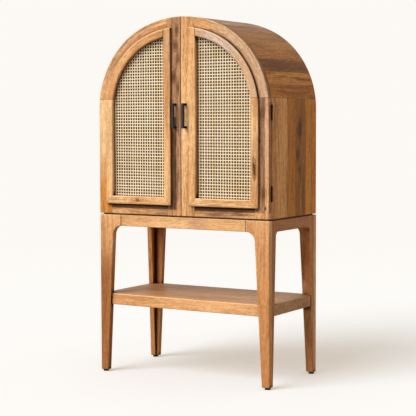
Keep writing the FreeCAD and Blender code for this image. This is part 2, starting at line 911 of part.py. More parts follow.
def door_pull(name, side):
    """A square bar pull with its posts at its ends."""
    half_length = (S.pull_centres + S.pull_bar) / 2
    bottom = S.pull_height - half_length
    top = S.pull_height + half_length
    tip = DOOR_FRONT - S.pull_projection
    grip = tip + S.pull_bar_depth
    middle = side * (HALF_GAP + S.pull_inset)
    path = [
        ((DOOR_FRONT, bottom),), ((tip, bottom),), ((tip, top),), ((DOOR_FRONT, top),),
        ((DOOR_FRONT, top - S.pull_bar),), ((grip, top - S.pull_bar),),
        ((grip, bottom + S.pull_bar),), ((DOOR_FRONT, bottom + S.pull_bar),),
    ]
    bar = board_in_yz(f"pull_handle_{name}", path, middle - S.pull_bar / 2, middle + S.pull_bar / 2)

    def outer_corner(point, ends):
        return near(point.y, tip) and (near(point.z, bottom) or near(point.z, top))

    fillet(bar, S.pull_round, outer_corner)
    subpart(bar, f"pull_handle_{name}")


def hinge_span(height):
    """Low and high end of a hinge leaf."""
    return height - S.hinge_height / 2, height + S.hinge_height / 2


def hinge_axis(side):
    """X and Y of a door's hinge axis: just outside the cabinet's side, in the middle of the door seam."""
    x = side * (S.half_width + S.knuckle_stand_off + S.knuckle_radius)
    return x, DOOR_BACK + S.door_seam / 2


def hinge_leaf(name, side, height, y, owned, bore_radius):
    """A hinge leaf with its own knuckles, numbered from the bottom, bored for the pin."""
    axis_x, axis_y = hinge_axis(side)
    low, high = hinge_span(height)
    pitch = S.hinge_height / S.knuckles
    outer = S.half_width + S.knuckle_stand_off - S.knuckle_play
    plate = box(name + "_plate", span(side, S.half_width - S.leaf_width, outer), y, (low, high))
    solids = [plate]
    for index in owned:
        bottom = low + index * pitch
        z = (bottom + S.knuckle_end_play / 2, bottom + pitch - S.knuckle_end_play / 2)
        solids.append(cylinder(name + "_knuckle", S.knuckle_radius, z[1] - z[0], (axis_x, axis_y, z[0])))
        solids.append(box(name + "_tab", span(side, S.half_width - S.leaf_width, side * axis_x), y, z))
    bore = cylinder(name + "_bore", bore_radius, S.hinge_height, (axis_x, axis_y, low))
    return cut(name, fuse(name + "_blank", solids), [bore])


def hinge_pin(name, side, height):
    """A hinge pin, held fast by the knuckles of the cabinet's leaf and flush with their ends."""
    low, _ = hinge_span(height)
    bottom = low + S.knuckle_end_play / 2
    return cylinder(name, S.pin_radius, S.hinge_height - S.knuckle_end_play, (*hinge_axis(side), bottom))


def door_hinges(name, side):
    """Two butt hinges: leaves on the door, leaves on the cabinet's side, and pins."""
    proud = S.leaf_thickness - S.leaf_sunk
    door_layer = (DOOR_BACK - S.leaf_sunk, DOOR_BACK + proud)
    frame_layer = (CARCASS_FRONT - proud, CARCASS_FRONT + S.leaf_sunk)
    numbers = range(SIZES["knuckles"])
    heights = {"upper": S.hinge_upper, "lower": S.hinge_lower}
    loose = S.pin_radius + S.pin_play
    door_leaves = []
    frame_leaves = []
    pins = []
    for place_name, height in heights.items():
        label = f"{place_name}_{name}"
        door_leaves.append(hinge_leaf("door_leaf_" + label, side, height, door_layer, numbers[1::2], loose))
        frame_leaves.append(
            hinge_leaf("frame_leaf_" + label, side, height, frame_layer, numbers[0::2], S.pin_radius))
        pins.append(hinge_pin("pin_" + label, side, height))
    subpart(group(f"hinge_door_leaves_{name}", door_leaves), f"hinge_door_leaves_{name}")
    subpart(group(f"hinge_frame_leaves_{name}", frame_leaves), f"hinge_frame_leaves_{name}")
    subpart(group(f"hinge_pins_{name}", pins), f"hinge_pins_{name}")


def catch_plate(name, side):
    """The steel plate on the door that the magnetic catch holds."""
    x = span(side, S.catch_inset, S.catch_inset + S.catch_length)
    z = (INNER_SHELF_BOTTOM - S.catch_height, INNER_SHELF_BOTTOM)
    plate = box(f"catch_plate_{name}", x, (DOOR_BACK, DOOR_BACK + S.catch_plate), z)
    subpart(plate, f"catch_plate_{name}")


def stand():
    for side_name in SIDES:
        for end_name in ENDS:
            leg(side_name, end_name)
    aprons()
    low_shelf()
    stand_fittings()


def cabinet():
    base_strips()
    carcass_bottom()
    for side_name in SIDES:
        carcass_side(side_name)
    arch_staves()
    back_panel()
    bar_fittings()


def doors():
    for name, side in SIDES.items():
        door_frame(name, side)
        door_mouldings(name, side)
        door_cane(name, side)
        door_beads(name, side)
        door_pull(name, side)
        door_hinges(name, side)
        catch_plate(name, side)


def export():
    """Checks every object and every sub-part, then writes the sub-parts."""
    DOC.recompute()
    for obj in DOC.Objects:
        faults = {"Invalid", "Error"} & set(obj.State)
        if faults:
            raise RuntimeError(f"{obj.Label}: {sorted(faults)}")
    for obj in SUBPARTS:
        if obj.Shape.isNull() or not obj.Shape.isValid() or not obj.Shape.Solids:
            raise RuntimeError(f"{obj.Label}: no valid solid")
    os.makedirs("parts", exist_ok=True)
    for obj in SUBPARTS:
        obj.Shape.exportStep(f"parts/{obj.Label}.step")
    print(len(SUBPARTS), "sub-parts")


stand()
cabinet()
doors()
export()
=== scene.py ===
"""Looks of the arched bar cabinet: oiled hardwood boards, woven cane and matte black hardware.

Metres, +Z up, front towards -Y. Curved and woven pieces are rebuilt here with smooth surfaces.
"""
import json
import math
import random
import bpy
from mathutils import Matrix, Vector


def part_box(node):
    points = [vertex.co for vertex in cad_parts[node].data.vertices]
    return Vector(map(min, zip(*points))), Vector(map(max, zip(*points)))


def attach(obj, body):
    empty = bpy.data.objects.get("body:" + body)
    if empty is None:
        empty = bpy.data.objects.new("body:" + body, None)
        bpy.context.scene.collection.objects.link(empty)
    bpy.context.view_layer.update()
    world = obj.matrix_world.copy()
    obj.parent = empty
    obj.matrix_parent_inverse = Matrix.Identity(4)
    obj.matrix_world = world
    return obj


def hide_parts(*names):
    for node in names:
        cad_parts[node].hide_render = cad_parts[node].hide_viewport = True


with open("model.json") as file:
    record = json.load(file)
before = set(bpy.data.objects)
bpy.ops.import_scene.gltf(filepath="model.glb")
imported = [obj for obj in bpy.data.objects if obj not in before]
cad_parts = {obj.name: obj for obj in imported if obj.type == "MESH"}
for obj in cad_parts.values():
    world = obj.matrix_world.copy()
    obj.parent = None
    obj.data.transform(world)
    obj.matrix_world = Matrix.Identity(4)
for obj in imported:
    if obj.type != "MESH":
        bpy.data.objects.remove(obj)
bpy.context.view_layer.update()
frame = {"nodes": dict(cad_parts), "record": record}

import zlib
from dataclasses import dataclass
from functools import partial

import bmesh
import bpy
from mathutils import Matrix, Vector

SIDES = {"left": -1, "right": 1}
X, Y, Z = range(3)

# Sizes of the arch, the cane and the beads that the frame's boxes don't give
HAUNCH_RADIUS = 0.382
CROWN_RADIUS = 0.490
SPRING_HEIGHT = 1.160
JOINT_RISE = 0.045
HAUNCH_STAVES = 7
CROWN_STAVES = 7
EDGE_PLAY = 0.0003
BEAD_WIDTH = 0.011
CANE_PITCH = 0.0128
CANE_STRAND = 0.0056
CANE_THICKNESS = 0.0007

# Sizes that the frame gives
HALF_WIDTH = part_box("carcass_side_right")[1].x
SHELL = HALF_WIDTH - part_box("carcass_bottom")[1].x
CARCASS_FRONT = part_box("arch_staves")[0].y
CARCASS_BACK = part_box("arch_staves")[1].y
DOOR_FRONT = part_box("door_right_bottom_rail")[0].y
DOOR_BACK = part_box("door_right_bottom_rail")[1].y
DOOR_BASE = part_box("door_right_bottom_rail")[0].z
HALF_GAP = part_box("door_right_meeting_stile")[0].x
FRAME_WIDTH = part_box("door_right_meeting_stile")[1].x - HALF_GAP
MOULDING_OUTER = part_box("moulding_right_inner")[0].x - HALF_GAP
MOULDING_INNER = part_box("moulding_right_inner")[1].x - HALF_GAP
MOULDING_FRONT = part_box("moulding_right_inner")[0].y
CANE_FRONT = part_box("cane_panel_right")[0].y
CANE_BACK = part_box("cane_panel_right")[1].y
CANE_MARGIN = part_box("cane_panel_right")[0].z - DOOR_BASE

# Rounding of edges on the rebuilt pieces
FRAME_EASE = 0.002
MOULDING_EASE = 0.0045
BEAD_EASE = 0.002
STAVE_EASE = 0.0004
TINY = 1e-9
CORNER_STEPS = 5
SMOOTH_ANGLE = math.radians(32)

# The arch has three centres: one for each haunch, at the spring line, and one for the crown below it
HAUNCH_X = HALF_WIDTH - HAUNCH_RADIUS
CENTRE_DROP = math.sqrt((CROWN_RADIUS - HAUNCH_RADIUS) ** 2 - HAUNCH_X ** 2)
CROWN_Z = SPRING_HEIGHT - CENTRE_DROP
JOINT_Z = SPRING_HEIGHT + JOINT_RISE
JOIN_ANGLE = math.atan2(CENTRE_DROP, HAUNCH_X)


def between(low, high, share):
    """The number at a share of the way from low to high."""
    return low + share * (high - low)


def spread(low, high, steps):
    """The numbers from low to high in even steps."""
    return [between(low, high, index / steps) for index in range(steps + 1)]


CORNER_ANGLES = spread(0.0, math.pi / 2, CORNER_STEPS)


def arch_point(angle, inset):
    """X and Z on the arch at an inset, at an angle from +X seen from the arc's own centre."""
    if angle < JOIN_ANGLE:
        reach = HAUNCH_RADIUS - inset
        return HAUNCH_X + reach * math.cos(angle), SPRING_HEIGHT + reach * math.sin(angle)
    reach = CROWN_RADIUS - inset
    return reach * math.cos(angle), CROWN_Z + reach * math.sin(angle)


def arch_x(inset, z):
    """Distance of the arch, or of the straight side below it, from the middle at a height."""
    if z > arch_point(JOIN_ANGLE, inset)[1]:
        return math.sqrt(max(0.0, (CROWN_RADIUS - inset) ** 2 - (z - CROWN_Z) ** 2))
    rise = max(0.0, z - SPRING_HEIGHT)
    return HAUNCH_X + math.sqrt((HAUNCH_RADIUS - inset) ** 2 - rise ** 2)


def arch_z(inset, x):
    """Height of the arch at a distance from the middle."""
    if x < arch_point(JOIN_ANGLE, inset)[0]:
        return CROWN_Z + math.sqrt((CROWN_RADIUS - inset) ** 2 - x ** 2)
    out = min(x - HAUNCH_X, HAUNCH_RADIUS - inset)
    return SPRING_HEIGHT + math.sqrt((HAUNCH_RADIUS - inset) ** 2 - out ** 2)


# Node trees

def srgb(red, green, blue):
    """A colour as it looks on screen, 0 to 255, as the linear colour that shaders take."""
    def linear(value):
        value /= 255
        return value / 12.92 if value <= 0.04045 else ((value + 0.055) / 1.055) ** 2.4
    return linear(red), linear(green), linear(blue), 1.0


class Tree:
    """Adds nodes to one node tree; inputs are sockets or plain values."""

    def __init__(self, tree):
        self.tree = tree
        tree.nodes.clear()

    def add(self, kind, inputs=(), **settings):
        """A node with its settings and inputs."""
        node = self.tree.nodes.new("ShaderNode" + kind)
        for name, value in settings.items():
            setattr(node, name, value)
        for key, value in dict(inputs).items():
            if isinstance(value, bpy.types.NodeSocket):
                self.tree.links.new(value, node.inputs[key])
            else:
                node.inputs[key].default_value = value
        return node

    def out(self, kind, inputs=(), key=0, **settings):
        """An output of a new node."""
        return self.add(kind, inputs, **settings).outputs[key]

    def math(self, operation, *values):
        """One operation on numbers."""
        return self.out("Math", enumerate(values), operation=operation)

    def scaled(self, value, factor, plus=0.0):
        """A number times a factor, plus another."""
        return self.math("MULTIPLY_ADD", value, factor, plus)

    def share(self, value, low, high):
        """How far a value is from low to high, from 0 to 1."""
        return self.out("MapRange", {0: value, 1: low, 2: high})

    def step(self, value, low, high, start=0.0, end=1.0):
        """A smooth step from start to end as a value goes from low to high."""
        inputs = {0: value, 1: low, 2: high, 3: start, 4: end}
        return self.out("MapRange", inputs, interpolation_type="SMOOTHSTEP")

    def mix(self, share, first, second, blend="MIX"):
        """Two colours mixed."""
        inputs = {0: share, 6: first, 7: second}
        return self.out("Mix", inputs, 2, data_type="RGBA", blend_type=blend)

    def noise(self, vector, detail=2.0, roughness=0.5, scale=1.0):
        """Noise at a place."""
        inputs = {"Vector": vector, "Scale": scale, "Detail": detail, "Roughness": roughness}
        return self.out("TexNoise", inputs)

    def ramp(self, value, stops, interpolation="LINEAR"):
        """Colours at stops along a value from 0 to 1."""
        node = self.add("ValToRGB", {0: value})
        node.color_ramp.interpolation = interpolation
        elements = node.color_ramp.elements
        elements.remove(elements[1])
        elements[0].position, elements[0].color = stops[0]
        for position, colour in stops[1:]:
            elements.new(position).color = colour
        return node.outputs[0]

    def vector(self, *parts):
        """A vector of three numbers."""
        return self.out("CombineXYZ", enumerate(parts))

    def vectors(self, operation, *values, key=0):
        """One operation on vectors."""
        return self.out("VectorMath", enumerate(values), key, operation=operation)

    def dot(self, first, second):
        """How far two directions agree, from -1 to 1."""
        return self.vectors("DOT_PRODUCT", first, second, key="Value")


def new_material(name):
    """A material and its empty tree."""
    material = bpy.data.materials.new(name)
    material.use_nodes = True
    return material, Tree(material.node_tree)


def surface(tree, colour, roughness, normal, **constants):
    """Ends a material in one shader; constants are set on its own sockets."""
    inputs = {"Base Color": colour, "Roughness": roughness, "Normal": normal}
    inputs.update({name.replace("_", " "): value for name, value in constants.items()})
    tree.add("OutputMaterial", {"Surface": tree.out("BsdfPrincipled", inputs)})


# Wood

PALE = srgb(255, 209, 153)
HONEY = srgb(246, 196, 138)
PEACH = srgb(238, 182, 126)
TAN = srgb(226, 168, 112)
AMBER = srgb(222, 152, 74)
BROWN = srgb(200, 136, 82)
ROSE = srgb(226, 176, 136)
TAUPE = srgb(190, 146, 110)
# A pale greyish pink: partly the board's own tone, partly a painted sheen
PINK_AND_SHEEN = srgb(220, 192, 170)
FAWN = srgb(216, 177, 139)
CLAY = srgb(213, 157, 103)
SAND = srgb(226, 178, 132)
RUSSET = srgb(182, 122, 72)
# Painted shade for the inside of the cabinet
INSIDE_PAINTED_SHADE = srgb(62, 42, 30)
KNOT = srgb(72, 40, 16)

# Tints that multiply the wood's colour; the last is painted shade for narrow places
WHITE = (1.0, 1.0, 1.0, 1.0)
SMOKE = (0.30, 0.26, 0.25, 1.0)
SHADE = (0.44, 0.32, 0.22, 1.0)
VEIN = (0.34, 0.24, 0.17, 1.0)
RECESS_PAINTED_SHADE = (0.13, 0.055, 0.018, 1.0)

# Noises of the figure: features per metre along and across the grain, detail and roughness
SWAY = (2.6, 6.0, 2.0, 0.5)
BROAD = (1.8, 14.0, 2.0, 0.5)
STREAKS = (4.5, 75.0, 3.0, 0.65)
MOTTLE = (24.0, 110.0, 3.0, 0.65)
FIBRES = (9.0, 420.0, 2.0, 0.6)
PORES = (60.0, 1200.0, 0.0, 0.5)
VEINS = (3.4, 150.0, 2.0, 0.6)
CLOUDS = (3.0, 22.0, 4.0, 0.66)
FLECKS = (52.0, 170.0, 2.0, 0.6)

# Growth rings, and how far the figure's wandering bends them
RING_COUNT = 70.0
RING_SWAY = 0.3

# How far the figure wanders across a board, and lies apart on two boards, in metres
SWAY_REACH = 0.05
BOARD_SHIFT = 20.0
PATH_SHIFT = (37.0, 23.0)
PLANK_SHIFT = (9.0, 5.0)

# Dark lines at ends and seams, worn and painted-highlit edges, soft edges of bands, and the reach of
# painted shade in narrow places
END_LINE = 0.0020
END_DEPTH = 0.75
SEAM_DEPTH = 0.5
EDGE_RADIUS = 0.0016
BAND_EDGE = 0.003
SHADE_REACH = 0.030
WOOD_SPECULAR = 0.08

# The key light comes from the front, a little from the left
SUN_AZIMUTH = math.radians(21)
SUN_ELEVATION = math.radians(40)
SUN_SPREAD = math.radians(42)
SUNWARD = Vector((-math.sin(SUN_AZIMUTH) * math.cos(SUN_ELEVATION),
                  -math.cos(SUN_AZIMUTH) * math.cos(SUN_ELEVATION), math.sin(SUN_ELEVATION)))


@dataclass
class Look:
    """How one board looks. Places are in metres; stops are (share, colour), and run on to the ends."""
    # Stops along the grain, or one colour for each board of a piece
    tones: tuple = ((0.0, TAN), (0.5, PEACH), (1.0, TAN))
    staves: tuple = ()
    # How much of the board a smoky stain covers, and the depth of the figure
    smoke: float = 0.25
    contrast: float = 0.8
    # Knots, stains and lines of painted shade as (along, across, half length, half width, depth of colour)
    knots: tuple = ()
    # Stops across the grain that multiply the tones: planks, with a seam at each, and soft bands of painted
    # shade and highlight
    planks: tuple = ()
    bands: tuple = ()
    # Places along the grain between which the bands lie, and whether they keep to a door's front
    band_span: tuple = ()
    painted_shadow_front_only: bool = False
    # A place along, one across, and the colour beyond both
    patch: tuple = ()
    # An axis and two places on it, between which natural wood turns dark with the painted shade of the
    # inside
    inside_shade: tuple = ()
    # Whether painted shade darkens narrow places, and the reach of the dark line at both ends
    paints_narrow_shade: bool = True
    end_line: float = END_LINE


class Grain:
    """Places on a board along, across and through its grain, shifted so that no two boards are alike."""

    def __init__(self, tree, name, axes):
        self.tree = tree
        self.on_path = axes is None
        if self.on_path:
            source = tree.out("Attribute", key="Vector", attribute_name="grain")
            self.order = (X, Y, Z)
        else:
            source = tree.out("TexCoord", key="Object")
            self.order = (*axes, X + Y + Z - sum(axes))
        self.parts = tree.add("SeparateXYZ", {0: source}).outputs
        self.run, self.side, self.depth = (self.parts[index] for index in self.order)
        self.board = tree.out("Attribute", key="Fac", attribute_name="board")
        draw = random.Random(zlib.crc32(name.encode()))
        self.length, self.width, self.height = (
            tree.math("ADD", part, draw.uniform(-BOARD_SHIFT, BOARD_SHIFT))
            for part in (self.run, self.side, self.depth))
        if self.on_path:
            self.shift(self.board, *PATH_SHIFT)

    def shift(self, number, along, through):
        """Moves the figure by a board's number."""
        self.length = self.tree.scaled(number, along, self.length)
        self.height = self.tree.scaled(number, through, self.height)

    def noise(self, kind):
        """One noise of the figure."""
        along, across, detail, roughness = kind
        scaled = [self.tree.scaled(part, scale)
                  for part, scale in ((self.length, along), (self.width, across), (self.height, across))]
        return self.tree.noise(self.tree.vector(*scaled), detail, roughness)

    def bend(self):
        """Makes the figure wander across the board, and gives how far it does."""
        sway = self.tree.math("SUBTRACT", self.noise(SWAY), 0.5)
        self.width = self.tree.scaled(sway, SWAY_REACH, self.width)
        return sway

    def past(self, part, place):
        """0 before a place along or across the grain, and 1 after it."""
        return self.tree.step(part, place - BAND_EDGE, place + BAND_EDGE)


def wood(node, axes, span, width_span):
    """A node's hardwood, with axes along and across its grain, or none if that follows a rebuilt piece.

    span and width_span are the places where the board starts and ends, along and across the grain.
    """
    name = node + "_wood"
    look = LOOKS.get(node, Look())
    material, tree = new_material(name)
    grain = Grain(tree, name, axes)
    place = tree.share(grain.side, *width_span)
    if look.planks:
        # A grey for each plank's number, which moves its figure
        numbers = [(share, (number / 10,) * 3 + (1.0,)) for number, (share, _) in enumerate(look.planks)]
        grain.shift(tree.ramp(place, numbers, "CONSTANT"), *PLANK_SHIFT)
    sway = grain.bend()
    streaks = grain.noise(STREAKS)
    fibres = grain.noise(FIBRES)
    pores = tree.step(grain.noise(PORES), 0.64, 0.72)
    flat = tree.out("NewGeometry", key="Normal")
    facings = tree.add("SeparateXYZ", {0: flat}).outputs
    rounded = tree.out("Bevel", {"Radius": EDGE_RADIUS}, samples=4)

    colour = toned(grain, place, span, look)
    colour = figured(grain, colour, sway, streaks, fibres, pores, look)
    for knot in look.knots:
        colour = knotted(grain, colour, streaks, knot)
    colour = ended(grain, colour, span, facings, look.end_line)
    seam = END_LINE / (width_span[1] - width_span[0])
    for share, _ in look.planks[1:]:
        gap = tree.math("ABSOLUTE", tree.math("SUBTRACT", place, share))
        colour = tree.mix(tree.step(gap, seam / 3, seam, SEAM_DEPTH, 0.0), colour, KNOT)
    # Edges pale with wear and a painted highlight; painted shade inside the cabinet and in narrow places
    colour = worn_and_highlighted(tree, colour, flat, rounded, streaks)
    if look.inside_shade:
        colour = shade_inside(grain, colour, facings, *look.inside_shade)
    if look.paints_narrow_shade:
        colour = shaded(tree, colour, flat)

    relief = tree.scaled(fibres, 0.5, tree.scaled(pores, -0.6))
    bump = tree.out("Bump", {"Strength": 0.25, "Distance": 0.0006, "Height": relief, "Normal": rounded})
    roughness = tree.scaled(fibres, 0.25, tree.scaled(pores, 0.15, 0.34))
    surface(tree, colour, roughness, bump, Specular_IOR_Level=WOOD_SPECULAR)
    return material


def toned(grain, place, span, look):
    """A board's colour before its figure: tones along it, then planks, bands of painted shade and
    highlight, and a patch.
    """
    tree = grain.tree
    if look.staves:
        stops = [(number / len(look.staves), tone) for number, tone in enumerate(look.staves)]
        colour = tree.ramp(grain.board, stops, "CONSTANT")
    else:
        colour = tree.ramp(tree.share(grain.run, *span), look.tones, "EASE")
    if look.planks:
        colour = tree.mix(1.0, colour, tree.ramp(place, look.planks, "CONSTANT"), "MULTIPLY")
    if look.bands:
        share = 1.0
        if look.band_span:
            begun, finished = (grain.past(grain.run, end) for end in look.band_span)
            share = tree.math("SUBTRACT", begun, finished)
        # The painted shadow of the mouldings keeps to the door's front
        if look.painted_shadow_front_only:
            front = tree.step(grain.depth, DOOR_FRONT + FRAME_EASE, DOOR_FRONT + 2 * FRAME_EASE, 1.0, 0.0)
            share = tree.scaled(share, front)
        colour = darkened(tree, share, colour, tree.ramp(place, look.bands, "EASE"))
    if look.patch:
        along, across, tone = look.patch
        beyond = tree.scaled(grain.past(grain.run, along), grain.past(grain.side, across))
        colour = tree.mix(beyond, colour, tone)
    return colour


def figured(grain, colour, sway, streaks, fibres, pores, look):
    """Darkens a colour by the figure, veins, smoky stains, flecks and pores."""
    tree = grain.tree
    broad = grain.noise(BROAD)
    rings = tree.math("SINE", tree.scaled(tree.scaled(sway, RING_SWAY, broad), RING_COUNT))
    figure = 0.0
    for noise, share in ((streaks, 0.38), (broad, 0.42), (grain.noise(MOTTLE), 0.20), (rings, 0.025),
                         (tree.math("SUBTRACT", fibres, 0.5), 0.22)):
        figure = tree.scaled(noise, share, figure)
    # More smoke spreads to lower values of its noise, and is deeper
    smoke_fade = (0.68 - 0.28 * look.smoke, 0.82 - 0.22 * look.smoke)
    smoke_depth = min(1.0, 0.4 + look.smoke)
    marks = [
        (tree.step(figure, 0.37, 0.58, look.contrast, 0.0), SHADE),
        (tree.step(grain.noise(VEINS), 0.60, 0.74, 0.0, 0.8 * look.contrast), VEIN),
        (tree.step(grain.noise(CLOUDS), *smoke_fade, 0.0, smoke_depth), SMOKE),
        (tree.step(grain.noise(FLECKS), 0.40, 0.64, 0.5 * look.contrast, 0.0), SHADE),
        (tree.scaled(pores, 0.5), SHADE),
    ]
    for share, tint in marks:
        colour = darkened(tree, share, colour, tint)
    return colour


def knotted(grain, colour, streaks, knot):
    """Darkens a knot, a stain or a line of painted shade into a board's colour, with its edge drawn out
    along the grain.
    """
    tree = grain.tree
    place, offset, half_length, half_width, depth = knot
    ahead = tree.math("DIVIDE", tree.math("SUBTRACT", grain.run, place), half_length)
    aside = tree.math("DIVIDE", tree.math("SUBTRACT", grain.side, offset), half_width)
    square = tree.scaled(ahead, ahead, tree.scaled(aside, aside))
    reach = tree.scaled(streaks, 0.9, tree.math("SQRT", square))
    ripple = tree.scaled(tree.math("SINE", tree.scaled(reach, 14.0)), 0.12)
    mask = tree.step(tree.math("ADD", reach, ripple), 0.85, 1.45, depth, 0.0)
    return tree.mix(mask, colour, KNOT)


def ended(grain, colour, span, facings, reach):
    """Draws a dark line where a board ends, but not over the end's own face."""
    tree = grain.tree
    for end in span:
        gap = tree.math("ABSOLUTE", tree.math("SUBTRACT", grain.run, end))
        line = tree.step(gap, reach / 3, reach, END_DEPTH, 0.0)
        if not grain.on_path:
            towards_end = tree.math("ABSOLUTE", facings[grain.order[0]])
            line = tree.scaled(line, tree.step(towards_end, 0.5, 0.8, 1.0, 0.0))
        colour = tree.mix(line, colour, KNOT)
    return colour


def worn_and_highlighted(tree, colour, flat, rounded, streaks):
    """Pales edges in streaks, as wear and a painted highlight, and paints a highlight on faces that meet
    the key light squarely.
    """
    turn = tree.dot(rounded, flat)
    wear_and_highlight = tree.scaled(tree.step(turn, 0.78, 0.99, 0.55, 0.0), tree.step(streaks, 0.3, 0.6))
    colour = tree.mix(wear_and_highlight, colour, PALE)
    return tree.mix(tree.step(tree.dot(flat, SUNWARD), 0.75, 0.92, 0.0, 0.6), colour, PALE)


def shade_inside(grain, colour, facings, axis, natural, stained):
    """Paints shade onto a board from one place on an axis to another, inside the cabinet."""
    tree = grain.tree
    inside = tree.step(tree.math("ABSOLUTE", grain.parts[axis]), natural, stained)
    if axis != Y:
        ahead = tree.math("ABSOLUTE", facings[Y])
        inside = tree.scaled(inside, tree.step(ahead, 0.5, 0.9, 1.0, 0.0))
    return tree.mix(inside, colour, tree.mix(0.4, INSIDE_PAINTED_SHADE, colour, "MULTIPLY"))


def darkened(tree, share, colour, tint):
    """A colour multiplied by a tint, to a share."""
    return tree.mix(share, colour, tree.mix(1.0, colour, tint, "MULTIPLY"))


def shaded(tree, colour, normal):
    """Paints shade into narrow places, most on faces turned from the key light and least on those towards
    it.
    """
    facing = tree.dot(normal, SUNWARD)
    lean = tree.step(facing, 0.0, 0.5, 0.0, 2.0)
    towards = tree.vectors("NORMALIZE", tree.vectors("MULTIPLY_ADD", SUNWARD, lean, normal))
    occlusion = tree.out("AmbientOcclusion", {"Distance": SHADE_REACH, "Normal": towards}, "AO", samples=8)
    clear = tree.math("POWER", occlusion, tree.step(facing, -0.1, -0.5, 1.0, 3.0))
    return darkened(tree, tree.step(clear, 0.48, 0.94, 1.0, 0.0), colour, RECESS_PAINTED_SHADE)


# Other materials

def cane_material():
    """Natural cane: cream strands that differ a little, with fine fibres and a soft gloss."""
    material, tree = new_material("natural_cane")
    tone = tree.out("Attribute", key="Fac", attribute_name="board")
    source = tree.out("Attribute", key="Vector", attribute_name="grain")
    run, across, depth = tree.add("SeparateXYZ", {0: source}).outputs
    along = tree.scaled(tone, 50.0, tree.scaled(run, 14.0))
    place = tree.vector(along, tree.scaled(across, 900.0), tree.scaled(depth, 300.0))
    fibres = tree.noise(place, 2.0, 0.6)
    place = tree.vector(tree.scaled(run, 9.0), tree.scaled(tone, 37.0), 0.0)
    shift = tree.scaled(tree.math("SUBTRACT", tree.noise(place), 0.5), 0.9, tone)
    colour = tree.ramp(shift, [(0.0, srgb(222, 194, 152)), (0.35, srgb(240, 218, 180)),
                               (0.7, srgb(248, 233, 206)), (1.0, srgb(246, 227, 190))])
    colour = tree.mix(tree.step(fibres, 0.35, 0.65, 0.3, 0.0), colour, srgb(206, 166, 104))
    rim = tree.step(tree.math("ABSOLUTE", across), CANE_STRAND / 4, CANE_STRAND / 2, 0.0, 0.6)
    colour = tree.mix(rim, colour, srgb(190, 146, 92))
    bump = tree.out("Bump", {"Strength": 0.2, "Distance": 0.0003, "Height": fibres})
    roughness = tree.scaled(fibres, 0.2, 0.32)
    surface(tree, colour, roughness, bump, Specular_IOR_Level=0.45)
    return material


def black_material(name, grain_size, roughness, colour, specular):
    """Matte black with a fine grain: powder coat on metal, or moulded plastic."""
    material, tree = new_material(name)
    place = tree.out("TexCoord", key="Object")
    grain = tree.noise(place, scale=1 / grain_size)
    haze = tree.noise(place, scale=60.0)
    tint = tree.ramp(haze, [(0.3, colour), (0.7, tuple(1.6 * part for part in colour[:3]) + (1.0,))])
    # Painted shade in narrow places and on faces turned from the key light
    tint = shaded(tree, tint, tree.out("NewGeometry", key="Normal"))
    bump = tree.out("Bump", {"Strength": 0.35, "Distance": 0.0002, "Height": grain})
    roughness = tree.scaled(grain, 0.2, roughness)
    surface(tree, tint, roughness, bump, Specular_IOR_Level=specular)
    return material


def steel_material():
    """Zinc-plated steel with rolling marks."""
    material, tree = new_material("zinc_plated_steel")
    place = tree.out("TexCoord", key="Object")
    marks = tree.noise(tree.vectors("MULTIPLY", place, (60.0, 900.0, 2500.0)), 3.0, 0.6)
    colour = tree.ramp(marks, [(0.3, srgb(150, 150, 146)), (0.7, srgb(205, 205, 200))])
    bump = tree.out("Bump", {"Strength": 0.15, "Distance": 0.0002, "Height": marks})
    surface(tree, colour, tree.scaled(marks, 0.25, 0.25), bump, Metallic=1.0)
    return material


CANE = cane_material()
POWDER_COAT = black_material("black_powder_coat", 0.0006, 0.5, srgb(48, 47, 45), 0.05)
PLASTIC = black_material("black_plastic", 0.0012, 0.55, srgb(26, 26, 26), 0.3)
STEEL = steel_material()

# Tints of the bands across the boards: painted shade, and one that darkens all but an edge, which leaves a
# painted highlight there
PAINTED_SHADOW = (0.30, 0.28, 0.27, 1.0)
STILE_PAINTED_SHADOW = (0.55, 0.57, 0.61, 1.0)
EDGE_PAINTED_SHADE = (0.52, 0.42, 0.30, 1.0)
BELOW_PAINTED_HIGHLIGHT = (0.88, 0.82, 0.78, 1.0)
CREASE_PAINTED_SHADE = (0.34, 0.22, 0.11, 1.0)
SHELF_PAINTED_SHADE = (0.70, 0.70, 0.72, 1.0)

# Planks of the sides from front to back, and staves of the arch from its foot up or from right to left
RIGHT_PLANKS = [(0.0, srgb(216, 150, 86)), (0.10, srgb(234, 168, 102)), (0.35, srgb(198, 126, 46)),
                (0.53, srgb(168, 108, 36)), (0.75, srgb(222, 144, 56)), (0.89, srgb(222, 138, 48))]
LEFT_PLANKS = [(0.0, PEACH), (0.22, TAN), (0.45, CLAY), (0.66, TAN), (0.86, PEACH)]
# Besides each stave's own tone, the staves darken towards the crown as painted shade
RIGHT_TONES = [srgb(208, 134, 58), srgb(212, 142, 66), srgb(152, 100, 44), srgb(184, 122, 58),
               srgb(180, 124, 60), srgb(166, 116, 62), srgb(170, 120, 70)]
LEFT_TONES = [TAN, CLAY, PEACH, TAN, CLAY, srgb(198, 150, 106), srgb(186, 144, 106)]
CROWN_TONES = [srgb(174, 136, 98), srgb(164, 126, 90), srgb(180, 144, 108), srgb(172, 138, 104),
               srgb(182, 146, 110), srgb(168, 132, 98), srgb(178, 142, 106)]

# The mouldings' shadow beside and below them, painted as a dim strip
STRIP_WIDTH = 0.023
STRIP_HEIGHT = 0.019
STRIP_FOOT = DOOR_BASE + MOULDING_OUTER - STRIP_HEIGHT
STRIP_LENGTH = 0.42
STRIP_FADE = 0.02

# Pale wood where a meeting stile's top runs on above the moulding
TOP_PATCH = (0.79, MOULDING_OUTER + 0.002, HONEY)

